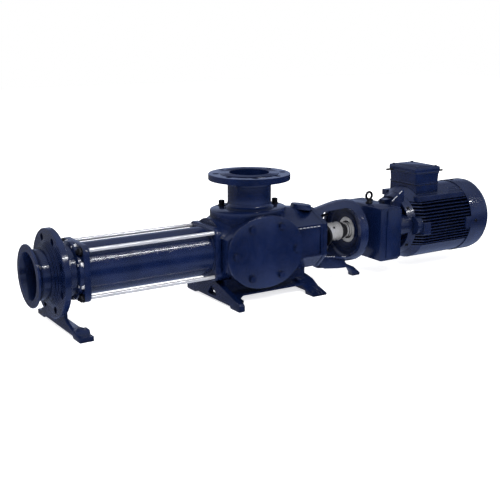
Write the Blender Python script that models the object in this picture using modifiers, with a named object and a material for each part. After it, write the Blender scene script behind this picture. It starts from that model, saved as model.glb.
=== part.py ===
"""A progressive cavity pump with its gearmotor, modelled piece by piece in metres, +Z up.

The floor is z = 0 and the origin is on it, under the middle of the pump's length.
Every piece hangs on one empty that sits where the suction branch's centre line meets the pump axis,
so the numbers below are distances from there: x along the pump axis, y across it, z above it.
"""
import math

import bmesh
import bpy
from mathutils import Matrix

# Where the pump axis lies
AXIS_HEIGHT = 0.140
SUCTION_X = -0.0969
GAP = 0.0003
ROUND = 40

# Both pipe flanges, nominal bore 100 mm
FLANGE_R = 0.110
FLANGE_T = 0.0165
FLANGE_BOLTS = 8
BOLT_CIRCLE_R = 0.090
BOLT_HOLE_R = 0.009
PIPE_BORE_R = 0.0535
RAISED_FACE_R = 0.079
RAISED_FACE_H = 0.002

# Suction branch
SUCTION_RIM_Z = 0.1943
SUCTION_NECK_R = 0.0585
SUCTION_COLLAR_R = 0.0650
SUCTION_COLLAR_H = 0.0045
SUCTION_BASE_TOP_Z = 0.1030
SUCTION_BASE_T = 0.0165
SUCTION_BASE_X = -0.0040
SUCTION_BASE_HALF_L = 0.1080
SUCTION_BASE_HALF_W = 0.0855

# Discharge stub and its loose flange
LIP_X = -0.6212
LIP_R = 0.0775
LIP_T = 0.0045
LIP_BORE_R = 0.0594
STUB_NECK_R = 0.0618
LOOSE_FLANGE_X = -0.5697
LOOSE_HUB_STEPS = ((-0.5830, 0.0680), (-0.5785, 0.0735), (-0.5740, 0.0795))
LOOSE_FLANGE_BACK_X = LOOSE_FLANGE_X + 0.016

# Discharge casing and the clamp plate of the stator
CASING_R = 0.0730
CASING_WAIST_R = 0.0640
CLAMP_X = -0.5075
CLAMP_T = 0.0175
CLAMP_HALF = 0.0705
CLAMP_CORNER_R = 0.0210

# Stator and its tie rods
STATOR_R = 0.0650
STATOR_WALL = 0.0200
LINING_DEPTH = 0.0600
LINING_SLOT = (0.0330, 0.0180)
TIE_ROD_OFFSET = 0.0585
TIE_ROD_R = 0.0050

# Pump body
END_PLATE_X = -0.1450
END_PLATE_T = 0.0170
BARREL_R = 0.0850
BARREL_X1 = 0.0800
BODY_BACK_Y = 0.0880
RIGHT_HALF_W = 0.0850
RIGHT_FLAT_HALF = 0.0200
RIGHT_LOW_HALF = 0.0500
RIGHT_SIDE_Z = (-0.0385, 0.0500)
RIGHT_LOW_Z = -0.0765
RIGHT_X = (0.0600, 0.1860)
RIGHT_TOP_Z = (0.1000, 0.0815)
PANEL_X = (0.0880, 0.1795)
PANEL_Z = (-0.0345, 0.0440)
PANEL_DEPTH = 0.0020
COVER_X = -0.0136
COVER_FACE_Y = -0.1070
COVER_T = 0.0100
COVER_HALF_W = 0.1165
COVER_HALF_H = 0.0965
BOSS_MARGIN = 0.0025
BOSS_CORNER = ((-0.0460, 0.0880), (-0.1270, 0.0430), (-0.1270, -0.0420), (-0.0800, -0.0780))
RIM_T = 0.0140
RIM_MARGIN = 0.0020
PAD_PLACE = (0.1640, -0.0100)
PAD_R = 0.0215
PAD_T = 0.0050

# Discharge foot. Each outline is half of it, as (y, z), and the other half mirrors it.
FLOOR_Z = -AXIS_HEIGHT
DISCHARGE_FOOT_X = (-0.5534, -0.5170)
DISCHARGE_WEB_T = 0.0090
DISCHARGE_WEB = (
    (0, -0.1330), (0.0925, -0.1330), (0.0985, FLOOR_Z), (0.1390, FLOOR_Z), (0.1390, -0.1280),
    (0.1075, -0.1235), (0.0620, -0.1130), (0.0480, -0.1030), (0.0460, -0.0600), (0, -0.0600),
)
DISCHARGE_BASE = (
    (0, -0.1360), (0.0925, -0.1360), (0.0985, FLOOR_Z), (0.1390, FLOOR_Z), (0.1390, -0.1280),
    (0.1180, -0.1275), (0.1150, -0.1185), (0.0980, -0.1180), (0.0780, -0.1240), (0.0460, -0.1290),
    (0, -0.1290),
)

# Main foot under the body. These outlines are halves too.
LEFT_WEB_X = (-0.1180, -0.1010)
LEFT_WEB = (
    (0, -0.1345), (0.0900, -0.1345), (0.0950, FLOOR_Z), (0.1370, FLOOR_Z), (0.1400, -0.1370),
    (0.1400, -0.1235), (0.1345, -0.1180), (0.1180, -0.1145), (0.0060, -0.0800), (0, -0.0800),
)
LEFT_WINDOW = ((0, -0.1245), (0.0200, -0.1245), (0.0230, -0.1215), (0.0040, -0.1000))
RIGHT_LEG_X = (0.1260, 0.1725)
RIGHT_LEG = (
    (0, -0.1310), (0.0850, -0.1310), (0.0885, FLOOR_Z), (0.1250, FLOOR_Z), (0.1250, -0.1340),
    (0.0860, -0.1230), (0.0600, -0.1090), (0.0320, -0.1025), (0, -0.1000),
)
SADDLE_Z = (-0.1180, -0.1130)
SADDLE_HALF_W = 0.0750
PEDESTAL_HALF_W = 0.0420
PEDESTAL_X1 = 0.1560
GUSSET_X = -0.0650
GUSSET = (
    (LEFT_WEB_X[1] - 0.002, 0.1340), (-0.0970, 0.1270), (-0.0930, 0.1080), (-0.0840, 0.0920),
    (GUSSET_X, 0.0740),
)

# Lantern and shaft. LANTERN_OUTER lists (x, radius) of the bell's outside.
LANTERN_X0 = RIGHT_X[1] + RIM_T
LANTERN_X1 = 0.3450
LANTERN_OUTER = (
    (LANTERN_X0, 0.0695), (0.2300, 0.0745), (0.2680, 0.0822), (0.2980, 0.0876), (0.3180, 0.0896),
    (0.3400, 0.0896), (LANTERN_X1, 0.0880),
)
LANTERN_INNER = (
    (LANTERN_X0, 0.0360), (LANTERN_X0 + 0.0075, 0.0360), (LANTERN_X0 + 0.0075, 0.0600),
    (0.2300, 0.0660), (0.2980, 0.0785), (0.3230, 0.0790), (0.3280, 0.0735), (0.3280, 0.0620),
    (0.3310, 0.0605), (0.3310, 0.0500), (0.3330, 0.0490), (0.3330, 0.0380), (LANTERN_X1, 0.0380),
)
WINDOW = (
    (0.2085, -0.0560), (0.2980, -0.0660), (0.3110, -0.0580), (0.3165, -0.0440), (0.3170, 0.0100),
    (0.3168, 0.0440), (0.3140, 0.0680), (0.2980, 0.0755), (0.2350, 0.0690), (0.2085, 0.0600),
)
WINDOW_CORNER_R = 0.0060
SHAFT_R = 0.0180
SHAFT_NECK_R = 0.0145
SLEEVE_R = 0.0265
SLEEVE_X = (0.2480, 0.3020)
COLLAR_R = 0.0215
COLLAR_X = (0.3250, 0.3450)
GLAND_STEPS = ((0.0100, 0.0480), (0.0220, 0.0400))

# Lantern foot, (x, z) outlines seen from the side
LANTERN_BLOCK = (
    (0.2080, -0.0500), (0.2080, -0.0850), (0.2250, -0.0930), (0.2700, -0.0985), (0.2980, -0.1000),
    (0.2980, -0.0500),
)
LANTERN_BLOCK_HALF_W = 0.0440
LANTERN_LEG = (
    (0.2200, -0.0900), (0.2250, -0.0990), (0.2800, -0.1060), (0.3280, -0.1110), (0.3440, -0.1180),
    (0.3520, -0.1310), (0.3530, FLOOR_Z), (0.3790, FLOOR_Z), (0.3800, -0.1330), (0.3560, -0.1120),
    (0.3300, -0.1000), (0.3180, -0.0850),
)
LANTERN_LEG_HALF_W = 0.0110

# Gearbox, with the flange and the disc on its output side
OUTPUT_FLANGE = ((LANTERN_X1 + GAP, 0.0560), (0.3560, 0.0560), (0.3580, 0.0340), (0.3917, 0.0340))
OUTPUT_DISC_R = 0.0374
OUTPUT_DISC_X = (0.3345, 0.3500)
OUTPUT_DISC_BORE_R = 0.0262
GEARBOX_X0 = 0.3920
GEARBOX_X1 = 0.4640
GEARBOX_HALF_W = 0.0880
GEARBOX_TOP_Z = 0.0690
GEARBOX_LOW_Z = -0.0870
GEARBOX_CORNER_R = 0.0090
GEARBOX_EDGE = 0.0045
EYE_PLACE = (0.4150, 0)
EYE_RING_R = 0.0115
EYE_RING_Z = 0.0225
EYE_WIRE_R = 0.0026
PLUG_PLACE = (0.4480, 0.0300)

# Motor adapter: a hub, a ring, an arm on each side and a rib on top
ADAPTER_X1 = 0.5120
ADAPTER_HUB_R = 0.0450
ADAPTER_RING = ((0.5000, 0.0825), (ADAPTER_X1, 0.0865))
ADAPTER_RING_BORE_R = 0.0780
ADAPTER_ARM_Y = 0.0580
ADAPTER_ARM_Z = 0.0060
ADAPTER_ARM_R = 0.0300
ADAPTER_RIB = ((0.4646, 0.0200), (0.4646, 0.0730), (0.5100, 0.1060), (0.5100, 0.0200))
ADAPTER_RIB_Y = -0.0420
ADAPTER_RIB_T = 0.0070
ADAPTER_SPOKE_T = 0.0240
ADAPTER_SPOKE_Z = 0.0760

# Motor
SHIELD_T = 0.0102
SHIELD_R = (0.0865, 0.0905)
MOTOR_R = 0.1080
FRAME_R = 0.0860
# The frame narrows towards its front, as (distance from the front, radius)
FRAME_TAPER = ((-0.0100, 0.0830), (0.0300, 0.1143))
FRAME_X0 = ADAPTER_X1 + SHIELD_T + 2 * GAP
FRAME_X1 = 0.7280
COWL_R = 0.1100
COWL = ((0.7840, 0.1100), (0.7960, 0.1075), (0.8060, 0.1000), (0.8120, 0.0880), (0.8150, 0.0740))
FIN_PITCH = 0.0098
FIN_T = 0.0032
FIN_ANGLES = (-31, 42)
BAND_STEPS = 14
LUG_X = (0.5300, 0.5580)
LUG_Y = (0.0900, 0.1160)
LUG_Z = (-0.0190, 0.0166)
LUG_BOSS_Y = 0.0840
LUG_BOSS_R = 0.0270
SIDE_PAD_X = (0.5330, 0.7180)
SIDE_PAD_Y = (0.0600, 0.0815)
SIDE_PAD_Z = (0.0715, 0.0885)
BOX_X = 0.5880
BOX_HALF_L = 0.0450
BOX_HALF_W = 0.0610
BOX_CORNER_R = 0.0060
BOX_TAPER = 0.965
BOX_LOW_Z = 0.1180
BOX_SEAM_Z = 0.1530
BOX_TOP_Z = 0.1690
BOX_NECK_IN = 0.0025

# Each finish: colour, roughness, metallic
FINISHES = {
    "navy_enamel": ((0.010, 0.016, 0.075, 1), 0.28, 0.0),
    "stainless_steel": ((0.72, 0.72, 0.74, 1), 0.22, 1.0),
    "rubber": ((0.012, 0.012, 0.013, 1), 0.75, 0.0),
    "black_steel": ((0.012, 0.012, 0.014, 1), 0.45, 1.0),
}

parts = None
guides = None
pump = None


def clear_scene():
    for old in list(bpy.data.objects):
        bpy.data.objects.remove(old)


def set_up():
    """Makes the collections and the empty that carries every piece."""
    global parts, guides, pump
    parts = bpy.data.collections.new("progressive_cavity_pump")
    guides = bpy.data.collections.new("cutters")
    bpy.context.scene.collection.children.link(parts)
    bpy.context.scene.collection.children.link(guides)
    pump = bpy.data.objects.new("pump_axis", None)
    pump.location = (SUCTION_X, 0, AXIS_HEIGHT)
    parts.objects.link(pump)


def own_material(name, finish):
    """Each piece has a material of its own, so its finish can be changed alone."""
    colour, roughness, metallic = FINISHES[finish]
    material = bpy.data.materials.new(name + "_finish")
    material.use_nodes = True
    shader = material.node_tree.nodes["Principled BSDF"]
    shader.inputs["Base Color"].default_value = colour
    shader.inputs["Roughness"].default_value = roughness
    shader.inputs["Metallic"].default_value = metallic
    return material


def add(name, mesh, place=(0, 0, 0), turn=(0, 0, 0)):
    """Puts a mesh on the pump's empty as a guide. piece() later makes it a part."""
    obj = bpy.data.objects.new(name, mesh)
    obj.parent = pump
    obj.location = place
    obj.rotation_euler = turn
    obj.hide_render = True
    obj.display_type = "WIRE"
    guides.objects.link(obj)
    return obj


def piece(obj, name, finish="navy_enamel"):
    """Makes a guide one of the pump's own parts, under its final name."""
    obj.name = name
    obj.data.name = name
    obj.hide_render = False
    obj.display_type = "TEXTURED"
    guides.objects.unlink(obj)
    parts.objects.link(obj)
    obj.data.materials.clear()
    obj.data.materials.append(own_material(name, finish))
    obj.data.shade_smooth()
    obj.data.set_sharp_from_angle(angle=math.radians(35))
    return obj


ALONG_X = (0, math.pi / 2, 0)
ALONG_Z = (0, 0, 0)
FACE_X = (math.pi / 2, 0, math.pi / 2)
FACE_Y = (math.pi / 2, 0, 0)
FACE_Z = (0, 0, 0)


def turned(outer, inner=None, turn=ALONG_X, place=(0, 0, 0), steps=ROUND):
    """A turned solid. outer and inner list (distance along the axis, radius) from low to high."""
    loop = [(r, z) for z, r in reversed(outer)]
    if inner:
        loop += [(r, z) for z, r in inner]
    else:
        loop = [(0, outer[-1][0])] + loop + [(0, outer[0][0])]
    mesh = bpy.data.meshes.new("turned")
    build = bmesh.new()
    points = [build.verts.new((r, 0, z)) for r, z in loop]
    for a, b in zip(points, points[1:]):
        build.edges.new((a, b))
    if inner:
        build.edges.new((points[-1], points[0]))
    build.to_mesh(mesh)
    build.free()
    obj = add("turned", mesh, place, turn)
    screw = obj.modifiers.new("turn", "SCREW")
    screw.steps = screw.render_steps = steps
    screw.use_merge_vertices = True
    screw.merge_threshold = 0.00001
    return solid(obj)


def solid(obj):
    """Bakes an object's modifiers into its mesh, so that a Boolean gets a plain closed body."""
    depsgraph = bpy.context.evaluated_depsgraph_get()
    mesh = bpy.data.meshes.new_from_object(obj.evaluated_get(depsgraph))
    build = bmesh.new()
    build.from_mesh(mesh)
    bmesh.ops.remove_doubles(build, verts=build.verts, dist=0.00001)
    bmesh.ops.recalc_face_normals(build, faces=build.faces)
    build.to_mesh(mesh)
    build.free()
    obj.modifiers.clear()
    obj.data = mesh
    return obj


def circle(radius, count=ROUND, centre=(0, 0), phase=0.0):
    """Points round a circle."""
    return [
        (centre[0] + radius * math.cos(phase + 2 * math.pi * i / count),
         centre[1] + radius * math.sin(phase + 2 * math.pi * i / count))
        for i in range(count)
    ]


def oval(half_w, half_h, count=ROUND, centre=(0, 0), squareness=2.0):
    """Points round an oval. A squareness above 2 flattens its four sides."""
    power = 2 / squareness
    return [
        (centre[0] + half_w * math.copysign(abs(u) ** power, u),
         centre[1] + half_h * math.copysign(abs(v) ** power, v))
        for u, v in circle(1.0, count)
    ]


def mirrored(half):
    """A whole outline from its half at positive y, which runs from the middle's foot to its top."""
    points = list(half)
    for y, z in reversed(half):
        if y > 0:
            points.append((-y, z))
    return points


def rounded(half_w, half_h, radius, count=6, centre=(0, 0)):
    """Points round a rectangle with round corners."""
    points = []
    for quarter, (su, sv) in enumerate(((1, 1), (-1, 1), (-1, -1), (1, -1))):
        for i in range(count + 1):
            angle = math.pi / 2 * (quarter + i / count)
            points.append((
                centre[0] + su * (half_w - radius) + radius * math.cos(angle),
                centre[1] + sv * (half_h - radius) + radius * math.sin(angle),
            ))
    return points


def plate(outline, thickness, turn=FACE_X, place=(0, 0, 0), edge=0.0, corners=0.0):
    """A flat plate inside an outline. edge rounds its rims and corners rounds its upright edges."""
    mesh = bpy.data.meshes.new("plate")
    build = bmesh.new()
    half = thickness / 2
    low = [build.verts.new((u, v, -half)) for u, v in outline]
    high = [build.verts.new((u, v, half)) for u, v in outline]
    build.faces.new(low)
    build.faces.new(high)
    uprights = []
    for i in range(len(outline)):
        after = (i + 1) % len(outline)
        build.faces.new((low[i], low[after], high[after], high[i]))
        uprights.append(build.edges.get((low[i], high[i])))
    bmesh.ops.recalc_face_normals(build, faces=build.faces)
    if corners:
        bmesh.ops.bevel(build, geom=uprights, offset=corners, segments=4, profile=0.5, affect="EDGES")
    if edge:
        rims = [
            e for e in build.edges
            if abs(abs(e.verts[0].co.z) - half) < 1e-6 and abs(e.verts[0].co.z - e.verts[1].co.z) < 1e-6
        ]
        bmesh.ops.bevel(build, geom=rims, offset=edge, segments=2, profile=0.5, affect="EDGES")
    build.to_mesh(mesh)
    build.free()
    return add("plate", mesh, place, turn)


def mesh_of(curve_object):
    """A mesh object in a curve object's place, with its caps welded."""
    depsgraph = bpy.context.evaluated_depsgraph_get()
    depsgraph.update()
    mesh = bpy.data.meshes.new_from_object(curve_object.evaluated_get(depsgraph))
    build = bmesh.new()
    build.from_mesh(mesh)
    bmesh.ops.remove_doubles(build, verts=build.verts, dist=0.00001)
    bmesh.ops.recalc_face_normals(build, faces=build.faces)
    build.to_mesh(mesh)
    build.free()
    place, turn = curve_object.location.copy(), curve_object.rotation_euler.copy()
    bpy.data.objects.remove(curve_object)
    return add("mesh", mesh, place, turn)


def block(low, high, round_edges=0.0, segments=2):
    """A box between two corners, its edges rounded if asked."""
    mesh = bpy.data.meshes.new("block")
    build = bmesh.new()
    size = [b - a for a, b in zip(low, high)]
    bmesh.ops.create_cube(build, size=1.0, matrix=Matrix.Diagonal((*size, 1.0)))
    build.to_mesh(mesh)
    build.free()
    obj = add("block", mesh, [(a + b) / 2 for a, b in zip(low, high)])
    if round_edges:
        bevel = obj.modifiers.new("edges", "BEVEL")
        bevel.width = round_edges
        bevel.segments = segments
        bpy.context.view_layer.update()
        solid(obj)
    return obj


def loft(sections):
    """A closed body through outlines at several x, each a ring of (y, z) points of the same count."""
    mesh = bpy.data.meshes.new("loft")
    build = bmesh.new()
    rings = [[build.verts.new((x, y, z)) for y, z in outline] for x, outline in sections]
    for near, far in zip(rings, rings[1:]):
        for i, point in enumerate(near):
            after = (i + 1) % len(near)
            build.faces.new((point, near[after], far[after], far[i]))
    build.faces.new(rings[0])
    build.faces.new(rings[-1])
    bmesh.ops.recalc_face_normals(build, faces=build.faces)
    build.to_mesh(mesh)
    build.free()
    return add("loft", mesh)


def eight_sided(top, margin=0.0):
    """The section of the body's right part, a rectangle with its corners cut off."""
    flat, under = RIGHT_FLAT_HALF, RIGHT_LOW_HALF
    side = RIGHT_HALF_W + margin
    low, high = RIGHT_SIDE_Z
    top += margin
    bottom = RIGHT_LOW_Z - margin
    return [
        (-flat, top), (-side, high), (-side, low), (-under, bottom),
        (under, bottom), (side, low), (side, high), (flat, top),
    ]


def rods(places, radius, length, turn=ALONG_X, place=(0, 0, 0), count=16, phase=0.0):
    """Like cylinders side by side in one mesh, centred on places in the plane across their axis."""
    mesh = bpy.data.meshes.new("rods")
    build = bmesh.new()
    for u, v in places:
        spot = Matrix.Translation((u, v, 0)) @ Matrix.Rotation(phase, 4, "Z")
        bmesh.ops.create_cone(
            build, cap_ends=True, segments=count, radius1=radius, radius2=radius, depth=length, matrix=spot
        )
    build.to_mesh(mesh)
    build.free()
    return add("rods", mesh, place, turn)


def combine(obj, others, operation="UNION"):
    """Joins other guides to a body, or cuts them out of it, one after the other."""
    for other in others:
        step = obj.modifiers.new(operation.lower(), "BOOLEAN")
        step.operation = operation
        step.solver = "EXACT"
        step.object = other
    bpy.context.view_layer.update()
    solid(obj)
    for other in others:
        bpy.data.objects.remove(other)
    return obj


def cut(obj, *cutters):
    return combine(obj, cutters, "DIFFERENCE")


def join(obj, *others):
    return combine(obj, others, "UNION")


def flange_holes(turn, place, depth):
    """The eight bolt holes of a pipe flange, straddling its centre lines."""
    spots = circle(BOLT_CIRCLE_R, FLANGE_BOLTS, phase=math.pi / FLANGE_BOLTS)
    return rods(spots, BOLT_HOLE_R, depth, turn, place)


def discharge_stub():
    back = LOOSE_FLANGE_BACK_X - GAP
    outer = [
        (LIP_X, LIP_R - 0.0012), (LIP_X + 0.0012, LIP_R), (LIP_X + LIP_T, LIP_R),
        (LIP_X + 0.0105, 0.0665), (LIP_X + 0.0165, STUB_NECK_R), (back, STUB_NECK_R),
    ]
    inner = [(LIP_X, LIP_BORE_R), (LIP_X + 0.016, PIPE_BORE_R), (back, PIPE_BORE_R)]
    piece(turned(outer, inner), "discharge_stub")


def loose_flange():
    rear = LOOSE_FLANGE_BACK_X
    outer = []
    for x, r in LOOSE_HUB_STEPS:
        outer += [(x, r - 0.0012), (x + 0.0012, r)]
        outer.append((x + 0.0042, r))
    outer[-1] = (LOOSE_FLANGE_X, LOOSE_HUB_STEPS[-1][1])
    outer += [
        (LOOSE_FLANGE_X, FLANGE_R - 0.0012), (LOOSE_FLANGE_X + 0.0012, FLANGE_R),
        (rear - 0.0012, FLANGE_R), (rear, FLANGE_R - 0.0012),
    ]
    bore = STUB_NECK_R + GAP
    inner = [(LOOSE_HUB_STEPS[0][0], bore), (rear, bore)]
    ring = turned(outer, inner)
    holes = flange_holes(FACE_X, ((LOOSE_FLANGE_X + rear) / 2, 0, 0), 0.03)
    piece(cut(ring, holes), "loose_flange")


def discharge_casing():
    front = LOOSE_FLANGE_BACK_X + GAP
    back = CLAMP_X - GAP
    outer = [
        (front, CASING_R), (front + 0.010, CASING_R), (front + 0.014, CASING_WAIST_R),
        (back - 0.014, CASING_WAIST_R), (back - 0.010, CASING_R), (back, CASING_R),
    ]
    inner = [(front, PIPE_BORE_R), (back, PIPE_BORE_R)]
    piece(turned(outer, inner), "discharge_casing")


def tie_rod_places():
    """Where the four tie rods run, as (y, z)."""
    return [(y, z) for z in (TIE_ROD_OFFSET, -TIE_ROD_OFFSET) for y in (-TIE_ROD_OFFSET, TIE_ROD_OFFSET)]


def square_plate(x, thickness, bore_r):
    """A square plate across the pump axis with round corners and a bore."""
    middle = (x + thickness / 2, 0, 0)
    slab = plate(rounded(CLAMP_HALF, CLAMP_HALF, CLAMP_CORNER_R), thickness, FACE_X, middle, edge=0.0015)
    return cut(slab, plate(circle(bore_r), thickness * 2, FACE_X, middle))


def stator_clamp_plate():
    holes = rods(tie_rod_places(), TIE_ROD_R + GAP, CLAMP_T * 2, FACE_X, (CLAMP_X + CLAMP_T / 2, 0, 0))
    piece(cut(square_plate(CLAMP_X, CLAMP_T, PIPE_BORE_R), holes), "stator_clamp_plate")


def stator():
    start = CLAMP_X + CLAMP_T + GAP
    end = END_PLATE_X - GAP
    bore = STATOR_R - STATOR_WALL
    piece(turned([(start, STATOR_R), (end, STATOR_R)], [(start, bore), (end, bore)]), "stator_tube")
    middle = (start + LINING_DEPTH / 2 + 0.002, 0, 0)
    lining = plate(circle(bore - GAP), LINING_DEPTH, FACE_X, middle)
    half_w, half_h = LINING_SLOT
    slot = plate(rounded(half_w, half_h, half_h - 0.0002, count=5), LINING_DEPTH * 2, FACE_X, middle)
    piece(cut(lining, slot), "stator_lining", "rubber")


def tie_rods():
    """Four stainless rods that pull the stator between its two plates."""
    x0 = CLAMP_X + GAP
    x1 = END_PLATE_X - GAP
    for number, place in enumerate(tie_rod_places(), start=1):
        rod = rods([place], TIE_ROD_R, x1 - x0, FACE_X, ((x0 + x1) / 2, 0, 0), 24)
        piece(rod, f"tie_rod_{number}", "stainless_steel")


def suction_base(grow=0.0):
    """The oval base of the suction branch, its top edge rounded, or the room for it."""
    low = SUCTION_BASE_TOP_Z - SUCTION_BASE_T
    top = SUCTION_BASE_TOP_Z + (0.05 if grow else 0)
    profile = [(low, 1.0), (top - 0.0040, 1.0), (top - 0.0012, 0.9885), (top, 0.9580)]
    if grow:
        profile = [(low, 1.0), (top, 1.0)]
    base = turned(profile, turn=ALONG_Z, place=(SUCTION_BASE_X, 0, 0), steps=48)
    for vert in base.data.vertices:
        vert.co.x *= SUCTION_BASE_HALF_L + grow
        vert.co.y *= SUCTION_BASE_HALF_W + grow
    return base


def suction_spool():
    low = SUCTION_BASE_TOP_Z - SUCTION_BASE_T
    collar = SUCTION_BASE_TOP_Z + SUCTION_COLLAR_H
    under = SUCTION_RIM_Z - FLANGE_T
    neck = SUCTION_NECK_R
    outer = [
        (low, SUCTION_COLLAR_R), (collar, SUCTION_COLLAR_R), (collar + 0.0012, SUCTION_COLLAR_R - 0.0012),
        (collar + 0.0025, neck + 0.0015), (collar + 0.0060, neck),
        (under - 0.014, neck), (under - 0.006, neck + 0.0028), (under - 0.001, neck + 0.008),
        (under, neck + 0.012),
        (under, FLANGE_R - 0.0012), (under + 0.0012, FLANGE_R), (SUCTION_RIM_Z - 0.0012, FLANGE_R),
        (SUCTION_RIM_Z, FLANGE_R - 0.0012), (SUCTION_RIM_Z, RAISED_FACE_R + 0.0006),
        (SUCTION_RIM_Z + RAISED_FACE_H, RAISED_FACE_R),
    ]
    spool = turned(outer, turn=ALONG_Z)
    bore = turned([(low - 0.01, PIPE_BORE_R), (SUCTION_RIM_Z + 0.01, PIPE_BORE_R)], turn=ALONG_Z)
    holes = flange_holes(FACE_Z, (0, 0, SUCTION_RIM_Z - FLANGE_T / 2), FLANGE_T * 1.6)
    piece(cut(join(spool, suction_base()), bore, holes), "suction_spool")


def body_end_plate():
    piece(square_plate(END_PLATE_X, END_PLATE_T, STATOR_R - STATOR_WALL), "body_end_plate")


def boss_outline():
    """The rim of the near boss, as (x, z): the cover's oval with a squarer corner at its upper left."""
    corner_x0, corner_x1 = BOSS_CORNER[0][0], BOSS_CORNER[-1][0]
    half_w, half_h = COVER_HALF_W - BOSS_MARGIN, COVER_HALF_H - BOSS_MARGIN
    points = []
    for x, z in oval(half_w, half_h, centre=(COVER_X, 0)):
        upper_left = z >= 0 and x < corner_x0 + 0.004
        lower_left = z < 0 and x < corner_x1 + 0.004
        if upper_left or lower_left:
            if points and points[-1] != BOSS_CORNER[-1]:
                points += BOSS_CORNER
        else:
            points.append((x, z))
    return points


def pump_body():
    """The suction casing: a barrel on the pump axis, an oval top housing and the inspection cover's boss."""
    left = END_PLATE_X + END_PLATE_T + GAP
    barrel = turned([(left, BARREL_R), (BARREL_X1, BARREL_R)])
    right = loft([(x, eight_sided(top)) for x, top in zip(RIGHT_X, RIGHT_TOP_Z)])
    top = SUCTION_BASE_TOP_Z - SUCTION_BASE_T - GAP
    outline = oval(SUCTION_BASE_HALF_L, SUCTION_BASE_HALF_W, 48)
    housing = plate(outline, top + 0.02, FACE_Z, (SUCTION_BASE_X, 0, (top - 0.02) / 2))
    seat = COVER_FACE_Y + COVER_T + GAP
    boss = plate(boss_outline(), BODY_BACK_Y - seat, FACE_Y, (0, (BODY_BACK_Y + seat) / 2, 0), edge=0.0030)
    body = join(barrel, right, housing, boss)
    well = turned([(-0.03, PIPE_BORE_R), (top + 0.02, PIPE_BORE_R)], turn=ALONG_Z)
    panels = []
    for side in (-1, 1):
        outline = rounded(
            (PANEL_X[1] - PANEL_X[0]) / 2, (PANEL_Z[1] - PANEL_Z[0]) / 2, 0.006, count=3,
            centre=((PANEL_X[0] + PANEL_X[1]) / 2, (PANEL_Z[0] + PANEL_Z[1]) / 2),
        )
        panels.append(plate(outline, PANEL_DEPTH * 2, FACE_Y, (0, side * RIGHT_HALF_W, 0)))
    piece(cut(body, well, suction_base(GAP), *panels), "pump_body")


def inspection_cover():
    outline = oval(COVER_HALF_W, COVER_HALF_H, 56, squareness=2.12)
    cover = plate(outline, COVER_T, FACE_Y, (COVER_X, COVER_FACE_Y + COVER_T / 2, 0), edge=0.0022)
    piece(cover, "inspection_cover")


def body_rim():
    x0 = RIGHT_X[1] + GAP
    x1 = RIGHT_X[1] + RIM_T - GAP
    middle = ((x0 + x1) / 2, 0, 0)
    rim = plate(eight_sided(RIGHT_TOP_Z[1], RIM_MARGIN), x1 - x0, FACE_X, middle, edge=0.0015)
    bore = plate(circle(SLEEVE_R + 0.006), RIM_T * 2, FACE_X, middle)
    piece(cut(rim, bore), "body_rim")


def top_pad():
    """A small round pad on the slope of the body's right part."""
    fall = (RIGHT_TOP_Z[0] - RIGHT_TOP_Z[1]) / (RIGHT_X[1] - RIGHT_X[0])
    angle = math.atan(fall)
    x, y = PAD_PLACE
    lift = PAD_T / 2 + GAP
    z = RIGHT_TOP_Z[0] - fall * (x - RIGHT_X[0])
    place = (x + lift * math.sin(angle), y, z + lift * math.cos(angle))
    piece(plate(circle(PAD_R, 24), PAD_T, (0, angle, 0), place, edge=0.0012), "top_pad")


def discharge_foot():
    """A transverse foot with a pad at each end, and a web that rises to the casing."""
    x0, x1 = DISCHARGE_FOOT_X
    web_x = x0 + DISCHARGE_WEB_T / 2
    web = plate(mirrored(DISCHARGE_WEB), DISCHARGE_WEB_T, FACE_X, (web_x, 0, 0), edge=0.0015)
    base_x0 = x0 + 0.002
    base_x = (base_x0 + x1) / 2
    base = plate(mirrored(DISCHARGE_BASE), x1 - base_x0, FACE_X, (base_x, 0, 0), edge=0.0015)
    casing_room = turned([(x0 - 0.02, CASING_R + GAP), (x1 + 0.02, CASING_R + GAP)])
    piece(cut(join(web, base), casing_room), "discharge_foot")


def main_foot():
    """The foot under the body: an arched web on the left, a leg on the right and a saddle between them."""
    x0, x1 = LEFT_WEB_X
    web = plate(mirrored(LEFT_WEB), x1 - x0, FACE_X, ((x0 + x1) / 2, 0, 0), edge=0.0015)
    window = plate(mirrored(LEFT_WINDOW), (x1 - x0) * 2, FACE_X, ((x0 + x1) / 2, 0, 0), corners=0.0020)
    web = cut(web, window)
    leg_x0, leg_x1 = RIGHT_LEG_X
    leg = plate(mirrored(RIGHT_LEG), leg_x1 - leg_x0, FACE_X, ((leg_x0 + leg_x1) / 2, 0, 0), edge=0.0015)
    low, high = SADDLE_Z
    saddle = block((x1 - 0.003, -SADDLE_HALF_W, low), (leg_x0 + 0.010, SADDLE_HALF_W, high))
    seat = RIGHT_LOW_Z - GAP
    pedestal = block((x1 - 0.003, -PEDESTAL_HALF_W, high - 0.002), (PEDESTAL_X1, PEDESTAL_HALF_W, seat))
    gussets = []
    for side in (-1, 1):
        outline = [(x, side * y) for x, y in GUSSET] + [(x1 - 0.002, side * (SADDLE_HALF_W - 0.010))]
        gussets.append(plate(outline, high - low, FACE_Z, (0, 0, (low + high) / 2)))
    foot = join(web, leg, saddle, pedestal, *gussets)
    boss_room = plate(boss_outline(), 0.3, FACE_Y)
    for vert in boss_room.data.vertices:
        vert.co.y *= 1 + GAP / COVER_HALF_H * 1.5
    barrel_room = turned([(x0 - 0.02, BARREL_R + GAP), (BARREL_X1 + GAP, BARREL_R + GAP)])
    piece(cut(foot, boss_room, barrel_room), "main_foot")


def lantern():
    """The bell between body and gearbox, with a window through each side."""
    bell = turned(list(LANTERN_OUTER), list(LANTERN_INNER))
    window = plate(WINDOW, 0.30, FACE_Y, corners=WINDOW_CORNER_R)
    piece(cut(bell, window), "lantern")


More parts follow.
